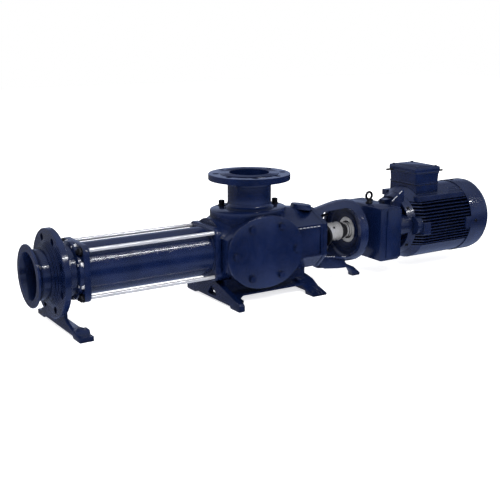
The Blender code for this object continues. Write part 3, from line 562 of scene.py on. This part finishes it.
def suction_base_screws():
    """Black screws that hold the suction branch."""
    maker = Maker("suction_base_screws", OXIDE, "eye_bolt_finish")
    for x, y in BASE_SCREWS:
        washer(maker, (x, y, BASE_TOP_Z), UP, BASE_WASHER_R, BASE_WASHER_T)
        cap_screw(maker, (x, y, BASE_TOP_Z + BASE_WASHER_T), UP, BASE_SCREW_R, BASE_SCREW_H)
    maker.piece()


def suction_fillets():
    """Fillets of the neck, under its flange and on its base, each from its (root z, step, spread)."""
    maker = Maker("suction_fillets", SMOOTH, "suction_spool_finish")
    for root, step, spread in FILLETS:
        rise = step * spread * FILLET_STRETCH
        profile = [(NECK_R - FILLET_DEPTH, root)]
        for i in range(9):
            turn = math.pi / 2 * i / 8
            profile.append((NECK_R + spread * (1 - math.sin(turn)), root + rise * (1 - math.cos(turn))))
        profile.append((NECK_R - FILLET_DEPTH, root + rise))
        maker.lathe(profile, PUMP_CENTRE, count=64)
    maker.piece()


def suction_face_grooves():
    """Turned grooves on the raised face."""
    maker = Maker("suction_face_grooves", SMOOTH, "suction_spool_finish")
    profile = [(FACE_INNER_R, FACE_ROOT_Z)]
    for i in range(GROOVES):
        profile.append((FACE_INNER_R + GROOVE_PITCH * i, GROOVE_LOW_Z if i % 2 else GROOVE_HIGH_Z))
    profile.append((FACE_OUTER_R, FACE_ROOT_Z))
    maker.lathe(profile, PUMP_CENTRE, count=96)
    maker.piece()


# Stator, discharge casing and loose flange
TIE_OFFSET, CLAMP_X = 0.0585, -0.5075
TIE_NUT_FLAT, TIE_NUT_H, TIE_STUD = 0.0078, 0.0070, 0.0050
STUD_CIRCLE_R, STUD_FLAT = 0.0680, 0.0062
STUD_NUT_H, STUD_LENGTH = 0.0052, 0.0060
STUD_ENDS = ((-0.5534, RIGHT), (-0.5078, LEFT))
WELDS = (
    ((-0.6045, 0, 0), RIGHT, 0.0620, 0.0016), ((-0.5835, 0, 0), RIGHT, 0.0622, 0.0014),
    ((-0.4890, 0, 0), RIGHT, 0.0655, 0.0018), ((-0.1460, 0, 0), RIGHT, 0.0655, 0.0018),
    ((0, 0, 0.1095), UP, 0.0592, 0.0018),
)
HUB_RIDGES, RIDGE_R = 6, 0.0012
HUB_FRONT, HUB_BACK = (0.0664, -0.5836), (0.0806, -0.5702)


def tie_rod_nuts():
    maker = Maker("tie_rod_nuts", OXIDE, "eye_bolt_finish")
    for y in (-TIE_OFFSET, TIE_OFFSET):
        for z in (-TIE_OFFSET, TIE_OFFSET):
            hex_bolt(maker, (CLAMP_X, y, z), LEFT, TIE_NUT_FLAT, TIE_NUT_H, stud=TIE_STUD)
    maker.piece()


def casing_studs():
    """Studs in the waist of the discharge casing."""
    maker = Maker("casing_studs", BOLT_STEEL, "tie_rod_1_finish")
    for i in range(8):
        y, z = across(STUD_CIRCLE_R, 22.5 + 45 * i)
        for x, direction in STUD_ENDS:
            hex_bolt(maker, (x, y, z), direction, STUD_FLAT, STUD_NUT_H, stud=STUD_LENGTH)
    maker.piece()


def weld_beads():
    maker = Maker("weld_beads", CAST, "discharge_stub_finish")
    for place, direction, radius, width in WELDS:
        weld(maker, place, direction, radius, width)
    maker.piece()


def loose_flange_ridges():
    """Turned ridges on the stepped hub of the loose flange."""
    maker = Maker("loose_flange_hub_steps", TUBE, "loose_flange_finish")
    for i in range(HUB_RIDGES):
        share = i / (HUB_RIDGES - 1)
        radius, x = (front + (back - front) * share for front, back in zip(HUB_FRONT, HUB_BACK))
        maker.lathe(bead_section(radius, x, RIDGE_R, 8), facing((0, 0, 0), RIGHT), count=96)
    maker.piece(angle=60)


# Body: round pad, side panels and rim
ROOF_LEFT_Z, ROOF_RIGHT_Z, ROOF_RUN = 0.1000, 0.0815, 0.126
BOSS_PLACE = (0.1620, -0.0100, 0.0820)
BOSS_PROFILE = ((0.0310, 0), (0.0290, 0.0060), (0.0285, 0.0115), (0.0270, 0.0132))
PANEL_Y, PANEL_BEAD_R = 0.0846, 0.0020
PANEL_OUTLINE = (
    (0.0885, -0.0320), (0.0885, 0.0405), (0.0915, 0.0435), (0.1760, 0.0435), (0.1790, 0.0405),
    (0.1790, -0.0320),
)
PANEL_DASHES, PANEL_DASH_PITCH = 7, 0.0120
PANEL_DASH_X, PANEL_DASH_Y, PANEL_DASH_Z = 0.0935, 0.0862, 0.0448
PANEL_DASH_STEP, PANEL_DASH_R = 0.0040, 0.0010
RIM_X, RIM_SCREW_Y, RIM_SCREW_Z = 0.1997, 0.0775, 0.028
RIM_SCREW_R, RIM_SCREW_H = 0.0048, 0.0050


def top_boss():
    """Blank boss on the round pad, square to the body's sloping roof."""
    slope = math.atan((ROOF_LEFT_Z - ROOF_RIGHT_Z) / ROOF_RUN)
    maker = Maker("top_boss", CAST, "top_pad_finish")
    maker.rings(stack(BOSS_PROFILE, count=40), facing(BOSS_PLACE, (math.sin(slope), 0, math.cos(slope))))
    maker.piece()


def panel_beads():
    """Raised beads round the side panels."""
    maker = Maker("panel_beads", TUBE, "pump_body_finish")
    for side in (-1, 1):
        tube(maker, [(x, side * PANEL_Y, z) for x, z in PANEL_OUTLINE], PANEL_BEAD_R)
    maker.piece()


def panel_edge_dashes():
    """Steel strips that paint highlights along the panels' top edges."""
    maker = Maker("panel_edge_painted_highlight", BOLT_STEEL, "tie_rod_1_finish")
    for side in (-1, 1):
        for i in range(PANEL_DASHES):
            x = PANEL_DASH_X + PANEL_DASH_PITCH * i
            points = [(x + PANEL_DASH_STEP * k, side * PANEL_DASH_Y, PANEL_DASH_Z) for k in range(3)]
            tube(maker, points, PANEL_DASH_R, count=8)
    maker.piece()


def body_rim_screws():
    maker = Maker("body_rim_screws", OXIDE, "eye_bolt_finish")
    for side in (-1, 1):
        for z in (-RIM_SCREW_Z, RIM_SCREW_Z):
            cap_screw(maker, (RIM_X, side * RIM_SCREW_Y, z), RIGHT, RIM_SCREW_R, RIM_SCREW_H)
    maker.piece()


# Lantern
LEDGE_X, LEDGE_RUN = 0.2085, 0.0895
LEDGE_Z, LEDGE_DROP = -0.0560, 0.0100
LANTERN_X, LANTERN_RUN = 0.2, 0.098
LANTERN_R, LANTERN_END_R = 0.0698, 0.0872
LEDGE_START_X, LEDGE_LENGTH, LEDGE_R = 0.2110, 0.0850, 0.0022
LEDGE_DASHES = (0.2200, 0.2270, 0.2340, 0.2410, 0.2480, 0.2760, 0.2830)
LEDGE_DASH_STEP, LEDGE_DASH_LIFT, LEDGE_DASH_R = 0.0025, 0.0014, 0.0009
END_RIDGES = ((0.0480, 0.3332), (0.0545, 0.3312), (0.0610, 0.3312))
END_RIDGE_FOOT, END_RIDGE_CREST, END_RIDGE_H = 0.0014, 0.0008, 0.0022


def ledge_point(x, side, lift=0.0):
    """A point on the sill of a lantern window, or lifted off it."""
    z = LEDGE_Z - LEDGE_DROP * (x - LEDGE_X) / LEDGE_RUN
    reach = LANTERN_R + (LANTERN_END_R - LANTERN_R) * (x - LANTERN_X) / LANTERN_RUN
    return x, side * (math.sqrt(reach * reach - z * z) + lift), z + lift


def window_ledges():
    """Raised sills of the lantern's windows."""
    maker = Maker("window_ledges", TUBE, "lantern_finish")
    for side in (-1, 1):
        points = [ledge_point(LEDGE_START_X + LEDGE_LENGTH * i / 8, side) for i in range(9)]
        tube(maker, points, LEDGE_R)
    maker.piece()


def ledge_edge_dashes():
    """Steel strips that paint highlights along the sills."""
    maker = Maker("ledge_edge_painted_highlight", BOLT_STEEL, "tie_rod_1_finish")
    for side in (-1, 1):
        for x in LEDGE_DASHES:
            points = [ledge_point(x + LEDGE_DASH_STEP * k, side, LEDGE_DASH_LIFT) for k in range(3)]
            tube(maker, points, LEDGE_DASH_R, count=8)
    maker.piece()


def lantern_end_ridges():
    """Turned ridges on the lantern's end wall."""
    maker = Maker("lantern_end_ridges", SMOOTH, "lantern_finish")
    for radius, x in END_RIDGES:
        profile = [
            (radius - END_RIDGE_FOOT, 0), (radius - END_RIDGE_CREST, END_RIDGE_H),
            (radius + END_RIDGE_CREST, END_RIDGE_H), (radius + END_RIDGE_FOOT, 0),
        ]
        maker.lathe(profile, facing((x, 0, 0), LEFT), count=72)
    maker.piece()


# Gland
GLAND_PLATE_X, GLAND_PLATE_T = 0.2304, 0.0070
GLAND_HALF, GLAND_BORE_R = (0.0370, 0.0620), 0.0215
GLAND_STUD_Z, GLAND_STUD = 0.0515, 0.0180
GLAND_FLAT, GLAND_NUT_H = 0.0070, 0.0075
SEAL_X, SEAL_CIRCLE_R = 0.2178, 0.0438
SEAL_FLAT, SEAL_HEAD_H = 0.0042, 0.0040
SEAL_BOLTS = (35, 145, 215, 325)


def oval(half_y, half_z, height, count=48):
    """Points round an oval in the plane across the pump axis, for facing RIGHT."""
    angles = [2 * math.pi * i / count for i in range(count)]
    return [(half_z * math.sin(angle), -half_y * math.cos(angle), height) for angle in angles]


def gland_plate():
    maker = Maker("gland_plate", OXIDE, "gland_follower_finish")
    bore = (GLAND_BORE_R, GLAND_BORE_R)
    rings = []
    for half, height in ((GLAND_HALF, 0), (GLAND_HALF, GLAND_PLATE_T), (bore, GLAND_PLATE_T), (bore, 0)):
        rings.append(oval(*half, height))
    maker.rings(rings, facing((GLAND_PLATE_X, 0, 0), RIGHT), wrap=True)
    maker.piece()


def gland_studs():
    """Studs that draw the gland up, and the bolts of the seal behind it."""
    maker = Maker("gland_studs", OXIDE, "eye_bolt_finish")
    for z in (-GLAND_STUD_Z, GLAND_STUD_Z):
        place = (GLAND_PLATE_X + GLAND_PLATE_T, 0, z)
        hex_bolt(maker, place, RIGHT, GLAND_FLAT, GLAND_NUT_H, stud=GLAND_STUD)
    for degrees in SEAL_BOLTS:
        hex_bolt(maker, (SEAL_X, *across(SEAL_CIRCLE_R, degrees)), RIGHT, SEAL_FLAT, SEAL_HEAD_H)
    maker.piece()


# Drive shaft
SLEEVE_R = 0.0265
SET_SCREWS = (38, 128, 218, 308)
SET_SCREW_X, SET_SCREW_SEAT_R = 0.2730, 0.0262
SET_SCREW_R, SET_SCREW_H = 0.0035, 0.0015
BOOT_X = 0.3022
BOOT_PROFILE = (
    (0.0142, 0.0001), (0.0225, 0.0001), (0.0245, 0.0020), (0.0245, 0.0105), (0.0230, 0.0125),
    (0.0172, 0.0130), (0.0172, 0.0226), (0.0142, 0.0226),
)
BOOT_BANDS = (0.3285, 0.3400)
BOOT_BAND_PROFILE = ((0.0212, -0.0013), (0.0218, -0.0013), (0.0218, 0.0013), (0.0212, 0.0013))
SLEEVE_RINGS = (0.2515, 0.2610, 0.2985)
SLEEVE_RING_T, SLEEVE_RING_FOOT, SLEEVE_RING_CREST = 0.0005, 0.0012, 0.0008


def sleeve_set_screws():
    maker = Maker("sleeve_set_screws", DULL_BLACK, "drive_shaft_finish", body="shaft")
    for degrees in SET_SCREWS:
        y, z = across(1, degrees)
        spot = (SET_SCREW_X, -SET_SCREW_SEAT_R * y, SET_SCREW_SEAT_R * z)
        cap_screw(maker, spot, (0, -y, z), SET_SCREW_R, SET_SCREW_H)
    maker.piece()


def shaft_neck_boot():
    """Black boot behind the sleeve, and bands on the neck."""
    maker = Maker("shaft_neck_boot", DULL_BLACK, "drive_shaft_finish", body="shaft")
    maker.lathe(BOOT_PROFILE, facing((BOOT_X, 0, 0), RIGHT), count=48)
    for x in BOOT_BANDS:
        maker.lathe(BOOT_BAND_PROFILE, facing((x, 0, 0), RIGHT), count=48)
    maker.piece()


def sleeve_rings():
    maker = Maker("sleeve_rings", SHAFT_STEEL, "drive_shaft_finish", body="shaft")
    inner, outer = SLEEVE_R - SLEEVE_RING_T, SLEEVE_R + SLEEVE_RING_T
    profile = [
        (inner, -SLEEVE_RING_FOOT), (outer, -SLEEVE_RING_CREST), (outer, SLEEVE_RING_CREST),
        (inner, SLEEVE_RING_FOOT),
    ]
    for x in SLEEVE_RINGS:
        maker.lathe(profile, facing((x, 0, 0), RIGHT), count=64)
    maker.piece()


# Gearbox
GEARBOX_Y = 0.0880
SIDE_COVER_X, SIDE_COVER_Z = 0.4372, -0.0090
SIDE_COVER_HALF = (0.0265, 0.0715)
SIDE_COVER_T, SIDE_COVER_CORNER_R = 0.0028, 0.0060
FAR_PLUG_X, FAR_PLUG_Y = 0.4300, 0.0881
FAR_PLUG_Z = (-0.0600, 0.0200)
FAR_PLUG_FLAT, FAR_PLUG_H = 0.0085, 0.0060
TOP_SCREW_PLACE = (0.4590, -0.0120, 0.0690)
TOP_SCREW_R, TOP_SCREW_H = 0.0052, 0.0016
EYE_WIRE_R, EYE_RING_R = 0.0035, 0.0106
EYE_COLLAR = ((0.0098, 0), (0.0098, 0.0030), (0.0064, 0.0062), (0.0048, 0.0115))


def gearbox_side_covers():
    maker = Maker("gearbox_side_covers", SMOOTH, "gearbox_housing_finish")
    for side, direction in SIDES:
        middle = (SIDE_COVER_X, side * GEARBOX_Y, SIDE_COVER_Z)
        slab(maker, middle, direction, SIDE_COVER_HALF, SIDE_COVER_T, SIDE_COVER_CORNER_R)
    maker.piece()


def gearbox_screws():
    """Plugs on the gearbox's far side and a screw on its top."""
    maker = Maker("gearbox_screws", OXIDE, "eye_bolt_finish")
    for z in FAR_PLUG_Z:
        hex_bolt(maker, (FAR_PLUG_X, FAR_PLUG_Y, z), FAR, FAR_PLUG_FLAT, FAR_PLUG_H)
    cap_screw(maker, TOP_SCREW_PLACE, UP, TOP_SCREW_R, TOP_SCREW_H)
    maker.piece()


def eye_bolt():
    """Forged eye bolt, its ring thicker than the solid's wire."""
    low, high = (Vector(corner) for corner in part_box("eye_bolt"))
    middle = (low + high) / 2
    maker = Maker("eye_bolt_forged", OXIDE, "eye_bolt_finish")
    maker.rings(stack(EYE_COLLAR, count=28), Matrix.Translation((middle.x, middle.y, low.z)))
    centre = Matrix.Translation((middle.x, middle.y, high.z - EYE_RING_R - EYE_WIRE_R))
    upright = Matrix.Rotation(math.pi / 2, 4, "X")
    maker.lathe(bead_section(EYE_RING_R, 0, EYE_WIRE_R, 12), centre @ upright, count=40)
    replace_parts(maker.piece(angle=60), "eye_bolt")


# Motor and its terminal box
SHIELD_X, SHIELD_CIRCLE_R = 0.5120, 0.0820
SHIELD_FLAT, SHIELD_HEAD_H = 0.0055, 0.0050
SHIELD_BOLTS = (40, 140, 220, 320)
COWL_SCREW_X, COWL_SCREW_SEAT_R = 0.7450, 0.1098
COWL_SCREW_R, COWL_SCREW_H = 0.0046, 0.0022
COWL_SCREWS = (0, 90, 180, 270)
BOX_X, BOX_TOP_Z = 0.5880, 0.1690
BOX_HALF, BOX_CORNER_R = (0.0450, 0.0610), 0.0060
BOX_SEAM_HALF = (BOX_HALF[0] - 0.0004, BOX_HALF[1] - 0.0004)
BOX_FOOT_HALF = (BOX_HALF[0] * 0.967, BOX_HALF[1] * 0.967)
LID_SCREW_U, LID_SCREW_V = 0.036, 0.052
LID_SCREW_SINK = 0.0006
LID_SCREW_R, LID_SCREW_H = 0.0040, 0.0030
PINS = ((0.5430, 0.0480, LEFT), (0.6330, -0.0480, RIGHT))
PIN_Z = 0.1540
PIN_PROFILE = ((0.0044, 0), (0.0044, 0.004), (0.0030, 0.005), (0.0030, 0.022), (0.0022, 0.0235))
LIPS = (
    (0.1535, BOX_HALF, 0.0145, 0.0030), (0.1480, BOX_SEAM_HALF, 0.0040, 0.0022),
    (0.1182, BOX_FOOT_HALF, 0.0040, 0.0024),
)
GASKETS = ((0.1519, BOX_HALF, 0.0017, 0.0012), (0.1164, BOX_FOOT_HALF, 0.0018, 0.0008))
LID_PANEL_HALF, LID_PANEL_T = (0.0350, 0.0500), 0.0014


def motor_screws():
    """Bolts of the end shield and screws round the fan cowl."""
    maker = Maker("motor_screws", OXIDE, "eye_bolt_finish")
    for degrees in SHIELD_BOLTS:
        hex_bolt(maker, (SHIELD_X, *across(SHIELD_CIRCLE_R, degrees)), LEFT, SHIELD_FLAT, SHIELD_HEAD_H)
    for degrees in COWL_SCREWS:
        place = (COWL_SCREW_X, *across(COWL_SCREW_SEAT_R, degrees))
        cap_screw(maker, place, (0, *across(1, degrees)), COWL_SCREW_R, COWL_SCREW_H)
    maker.piece()


def lid_screws():
    maker = Maker("lid_screws", SMOOTH, "terminal_box_lid_finish")
    for u in (-LID_SCREW_U, LID_SCREW_U):
        for v in (-LID_SCREW_V, LID_SCREW_V):
            cap_screw(maker, (BOX_X + u, v, BOX_TOP_Z - LID_SCREW_SINK), UP, LID_SCREW_R, LID_SCREW_H)
    maker.piece()


def box_side_pins():
    maker = Maker("box_side_pins", DULL_BLACK, "eye_bolt_finish")
    for x, y, direction in PINS:
        maker.rings(stack(PIN_PROFILE, count=12), facing((x, y, PIN_Z), direction))
    maker.piece()


def box_bands(name, look, bands):
    """Bands round the terminal box, each from its (height, half size, width, thickness)."""
    maker = Maker(name, look, "terminal_box_finish")
    for z, half, width, out in bands:
        lip(maker, (BOX_X, 0, z), half, BOX_CORNER_R, width, out)
    maker.piece()


def lid_panel():
    maker = Maker("lid_panel", SMOOTH, "terminal_box_lid_finish")
    slab(maker, (BOX_X, 0, BOX_TOP_Z), UP, LID_PANEL_HALF, LID_PANEL_T, BOX_CORNER_R)
    maker.piece()


# Motor frame
SHOULDER_R, SHOULDER_FIN_R, SHOULDER_START = 0.1075, 0.0016, 0.985
SHOULDER_X = (0.6720, 0.6800, 0.7250)
SHOULDER_FINS = (53, 57, 61, 65)
LUG_X, LUG_Y, LUG_Z = 0.7130, 0.1040, -0.0010
LUG_HALF = (0.0110, 0.0170)
LUG_T, LUG_CORNER_R = 0.0085, 0.0020


def shoulder_fins():
    """Ribs of the motor's shoulders, close to the cowl."""
    maker = Maker("shoulder_fins", FINE, "motor_frame_finish")
    start, rise, end = SHOULDER_X
    for side in (-1, 1):
        for degrees in SHOULDER_FINS:
            y, z = across(SHOULDER_R, degrees)
            y *= side
            points = [(start, y * SHOULDER_START, z * SHOULDER_START), (rise, y, z), (end, y, z)]
            tube(maker, points, SHOULDER_FIN_R, count=8)
    maker.piece()


def cowl_lugs():
    """Lugs on the frame's sides, at the cowl's edge."""
    maker = Maker("cowl_lugs", FINE, "motor_frame_finish")
    for side, direction in SIDES:
        slab(maker, (LUG_X, side * LUG_Y, LUG_Z), direction, LUG_HALF, LUG_T, LUG_CORNER_R)
    maker.piece()


# Hollow fan cowl with its grille, and the fan that shows through it
COWL_START_X = 0.7262
COWL_OUTER = (
    (0.1100, COWL_START_X), (0.1100, 0.7840), (0.1075, 0.7960), (0.1000, 0.8060), (0.0880, 0.8120),
    (0.0740, 0.8150),
)
COWL_WALL = 0.0016
GRILLE_X, GRILLE_T = 0.8130, 0.0014
GRILLE_RINGS, GRILLE_FIRST_R, GRILLE_PITCH = 7, 0.0160, 0.0088
GRILLE_BAR_HALF, GRILLE_HUB_R = 0.0020, 0.0100
SPOKES, SPOKE_SINK, SPOKE_R = 8, 0.0022, 0.0016
SPOKE_REACH = (0.0080, 0.0400, 0.0740)
REAR_X = 0.7282
REAR_PROFILE = ((0.1074, 0), (0.1074, 0.0030), (0.0700, 0.0060))
FAN_HUB_X = 0.7400
FAN_HUB = ((0.0240, 0), (0.0240, 0.0340), (0.0200, 0.0380))
FAN_PLATE_X = 0.7440
FAN_PLATE = ((0.0880, 0), (0.0880, 0.0020))
BLADES, BLADE_X = 9, 0.7460
BLADE_LENGTH, BLADE_HALF_T = 0.0320, 0.0009
BLADE_SWEEP = ((0.0230, 0), (0.0450, 0.0020), (0.0680, 0.0060), (0.0870, 0.0120))


def fan_cowl():
    maker = Maker("fan_cowl_shell", FINE, "fan_cowl_finish")
    shell = list(COWL_OUTER)
    for radius, x in reversed(COWL_OUTER):
        shell.append((radius - COWL_WALL, x - (0 if x == COWL_START_X else COWL_WALL)))
    maker.lathe(shell, facing((0, 0, 0), RIGHT), count=96)
    grille = facing((GRILLE_X - GRILLE_T, 0, 0), RIGHT)
    for i in range(GRILLE_RINGS):
        radius = GRILLE_FIRST_R + GRILLE_PITCH * i
        inner, outer = radius - GRILLE_BAR_HALF, radius + GRILLE_BAR_HALF
        bar = [(inner, 0), (outer, 0), (outer, GRILLE_T), (inner, GRILLE_T)]
        maker.lathe(bar, grille, count=72)
    maker.rings(stack([(GRILLE_HUB_R, 0), (GRILLE_HUB_R, GRILLE_T)]), grille)
    for i in range(SPOKES):
        degrees = 360 * i / SPOKES
        points = [(GRILLE_X - SPOKE_SINK, *across(reach, degrees)) for reach in SPOKE_REACH]
        tube(maker, points, SPOKE_R, count=8)
    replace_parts(maker.piece(), "fan_cowl")


def rear_end_shield():
    """The frame's rear wall, which closes it behind the fan."""
    maker = Maker("rear_end_shield", FINE, "motor_frame_finish")
    maker.rings(stack(REAR_PROFILE, count=96), facing((REAR_X, 0, 0), RIGHT))
    maker.piece()


def cooling_fan():
    maker = Maker("cooling_fan", DULL_BLACK, "eye_bolt_finish")
    maker.rings(stack(FAN_HUB, count=32), facing((FAN_HUB_X, 0, 0), RIGHT))
    maker.rings(stack(FAN_PLATE, count=48), facing((FAN_PLATE_X, 0, 0), RIGHT))
    length = Vector((BLADE_LENGTH, 0, 0))
    for i in range(BLADES):
        y, z = across(1, 360 * i / BLADES)
        out, side = Vector((0, y, z)), Vector((0, -z, y))
        rings = []
        for reach, sweep in BLADE_SWEEP:
            base = Vector((BLADE_X, 0, 0)) + out * reach + side * sweep
            corners = [base - side * BLADE_HALF_T, base + side * BLADE_HALF_T]
            corners += [corner + length for corner in reversed(corners)]
            rings.append([at(*corner) for corner in corners])
        maker.rings(rings)
    maker.piece()


# Adapter between gearbox and motor
RIB_FOOT, RIB_TOP = Vector((0.4652, -0.0420, 0.0742)), Vector((0.5098, -0.0420, 0.1066))
RIB_R = 0.0032
RIB_DASHES = ((0.04, 0.46), (0.62, 0.86))
RIB_DASH_R = 0.0013
RIB_DASH_OUT = Vector((-0.0010, -0.0022, 0.0014))


def adapter_rib_edge():
    """Rounded edge of the adapter's rib."""
    maker = Maker("adapter_rib_edge", SMOOTH, "motor_adapter_finish")
    tube(maker, [RIB_FOOT, (RIB_FOOT + RIB_TOP) / 2, RIB_TOP], RIB_R)
    maker.piece()


def rib_edge_dashes():
    """Steel strips that paint highlights along the rib's edge."""
    maker = Maker("rib_edge_painted_highlight", BOLT_STEEL, "tie_rod_1_finish")
    for start, end in RIB_DASHES:
        shares = (start, (start + end) / 2, end)
        points = [RIB_FOOT.lerp(RIB_TOP, share) + RIB_DASH_OUT for share in shares]
        tube(maker, points, RIB_DASH_R, count=8)
    maker.piece()


# Rims that stand for the open slots in the feet
SLOT_RIM_R = 0.0020
FOOT_SLOT_X, FOOT_SLOT_END_X = -0.5400, -0.5200
FOOT_SLOTS = ((0.0066, 0.1065, -0.1180), (0.0098, 0.1195, -0.1280))
LEG_SLOT_X = (0.1380, 0.1600)
LEG_SLOT_R, LEG_SLOT_Y, LEG_SLOT_END_Y = 0.0062, 0.1120, 0.1240
LEG_TOP_Y, LEG_TOP_Z, LEG_FALL = 0.0860, -0.1232, 0.282


def half_turn(start_degrees, count=12):
    """Angles of a half circle."""
    return [math.radians(start_degrees + 180 * i / count) for i in range(count + 1)]


def foot_slot_rims():
    """Rims on the bosses of the discharge foot."""
    maker = Maker("foot_slot_rims", CAST, "discharge_foot_finish")
    for side in (-1, 1):
        for radius, y, z in FOOT_SLOTS:
            y *= side
            points = [(FOOT_SLOT_END_X, y + radius, z)]
            for angle in half_turn(90):
                points.append((FOOT_SLOT_X + radius * math.cos(angle), y + radius * math.sin(angle), z))
            points.append((FOOT_SLOT_END_X, y - radius, z))
            tube(maker, points, SLOT_RIM_R, count=8)
    maker.piece()


def main_foot_slot_rims():
    """Rims on the sloping pads of the main foot's right leg."""
    maker = Maker("main_foot_slot_rims", CAST, "main_foot_finish")
    for side in (-1, 1):
        for x in LEG_SLOT_X:
            path = [(x + LEG_SLOT_R, LEG_SLOT_END_Y)]
            for angle in half_turn(0):
                path.append((x + LEG_SLOT_R * math.cos(angle), LEG_SLOT_Y - LEG_SLOT_R * math.sin(angle)))
            path.append((x - LEG_SLOT_R, LEG_SLOT_END_Y))
            points = [(u, side * y, LEG_TOP_Z - (y - LEG_TOP_Y) * LEG_FALL) for u, y in path]
            tube(maker, points, SLOT_RIM_R, count=8)
    maker.piece()


def set_camera():
    camera = bpy.data.cameras.new("photo_view")
    camera.lens = LENS
    camera.sensor_width = SENSOR_WIDTH
    camera.clip_end = CLIP_END
    obj = bpy.data.objects.new("photo_view", camera)
    bpy.context.scene.collection.objects.link(obj)
    yaw, pitch = CAMERA_YAW, CAMERA_PITCH
    forward = Vector((math.cos(yaw) * math.cos(pitch), math.sin(yaw) * math.cos(pitch), -math.sin(pitch)))
    right = Vector((math.sin(yaw), -math.cos(yaw), 0))
    up = right.cross(forward)
    matrix = Matrix((right, up, -forward)).transposed().to_4x4()
    matrix.translation = CAMERA_PLACE
    obj.matrix_world = matrix
    bpy.context.scene.camera = obj


def softbox(name, place, aim, size, power):
    light = bpy.data.lights.new(name, "AREA")
    light.shape = "RECTANGLE"
    light.size, light.size_y = size
    light.energy = power
    obj = bpy.data.objects.new(name, light)
    obj.location = place
    obj.rotation_euler = (Vector(aim) - Vector(place)).to_track_quat("-Z", "Y").to_euler()
    bpy.context.scene.collection.objects.link(obj)
    return obj


def side_light(nodes, links, coords, sky):
    """The sky made brighter towards the side that the left faces mirror."""
    towards = nodes.new("ShaderNodeVectorMath")
    towards.operation = "DOT_PRODUCT"
    towards.inputs[1].default_value = SIDE_LIGHT_FROM
    links.new(coords.outputs["Generated"], towards.inputs[0])
    gain = nodes.new("ShaderNodeMapRange")
    gain.inputs["From Min"].default_value = SIDE_LIGHT_START
    gain.inputs["To Min"].default_value = 0.0
    gain.inputs["To Max"].default_value = SIDE_LIGHT_GAIN
    links.new(towards.outputs["Value"], gain.inputs["Value"])
    added = nodes.new("ShaderNodeVectorMath")
    added.operation = "ADD"
    links.new(sky, added.inputs[0])
    links.new(gain.outputs["Result"], added.inputs[1])
    return added.outputs["Vector"]


def studio_world():
    """White all round for the camera and the soft light, with a dim sky for the gloss to mirror."""
    world = bpy.data.worlds.new("studio")
    world.use_nodes = True
    nodes, links = world.node_tree.nodes, world.node_tree.links
    coords = nodes.new("ShaderNodeTexCoord")
    split = nodes.new("ShaderNodeSeparateXYZ")
    links.new(coords.outputs["Generated"], split.inputs["Vector"])
    heights = nodes.new("ShaderNodeMapRange")
    heights.inputs["From Min"].default_value = -1.0
    links.new(split.outputs["Z"], heights.inputs["Value"])
    sky = nodes.new("ShaderNodeValToRGB")
    stops = sky.color_ramp.elements
    stops[0].position, stops[0].color = 0.0, SKY_UNDER
    stops[1].position, stops[1].color = 1.0, SKY_TOP
    for place, colour in SKY_STOPS:
        stops.new(place).color = colour
    links.new(heights.outputs["Result"], sky.inputs["Fac"])
    path = nodes.new("ShaderNodeLightPath")
    mix = nodes.new("ShaderNodeMix")
    mix.data_type = "RGBA"
    mix.inputs["A"].default_value = WHITE
    links.new(path.outputs["Is Glossy Ray"], mix.inputs["Factor"])
    links.new(side_light(nodes, links, coords, sky.outputs["Color"]), mix.inputs["B"])
    links.new(mix.outputs["Result"], nodes["Background"].inputs["Color"])
    return world


def make_floor():
    mesh = bpy.data.meshes.new("floor")
    half = FLOOR_HALF
    corners = [(-half, -half, 0), (half, -half, 0), (half, half, 0), (-half, half, 0)]
    mesh.from_pydata(corners, [], [(0, 1, 2, 3)])
    mesh.materials.append(pale_floor("floor_white"))
    floor = bpy.data.objects.new("floor", mesh)
    bpy.context.scene.collection.objects.link(floor)
    floor.visible_glossy = False


def set_stage():
    """A plain pale floor in a white world, with soft studio lights."""
    make_floor()
    bpy.context.scene.world = studio_world()
    bpy.context.scene.view_settings.view_transform = "Standard"
    softbox("key", KEY_PLACE, KEY_AIM, KEY_SIZE, KEY_POWER).visible_glossy = False
    for name, x, length, power in STRIPS:
        strip = softbox(name, (x, STRIP_Y, STRIP_Z), (x, 0, STRIP_AIM_Z), (length, STRIP_WIDTH), power)
        strip.visible_diffuse = False


finish_solids()
cover_bolts()
suction_base_screws()
tie_rod_nuts()
casing_studs()
weld_beads()
suction_fillets()
loose_flange_ridges()
suction_face_grooves()
top_boss()
panel_beads()
panel_edge_dashes()
window_ledges()
ledge_edge_dashes()
lantern_end_ridges()
body_rim_screws()
gland_plate()
gland_studs()
sleeve_set_screws()
shaft_neck_boot()
sleeve_rings()
gearbox_side_covers()
gearbox_screws()
eye_bolt()
motor_screws()
lid_screws()
box_side_pins()
box_bands("terminal_box_lips", SMOOTH, LIPS)
box_bands("terminal_box_gaskets", RUBBER, GASKETS)
lid_panel()
shoulder_fins()
cowl_lugs()
fan_cowl()
rear_end_shield()
cooling_fan()
adapter_rib_edge()
rib_edge_dashes()
foot_slot_rims()
main_foot_slot_rims()
set_camera()
set_stage()
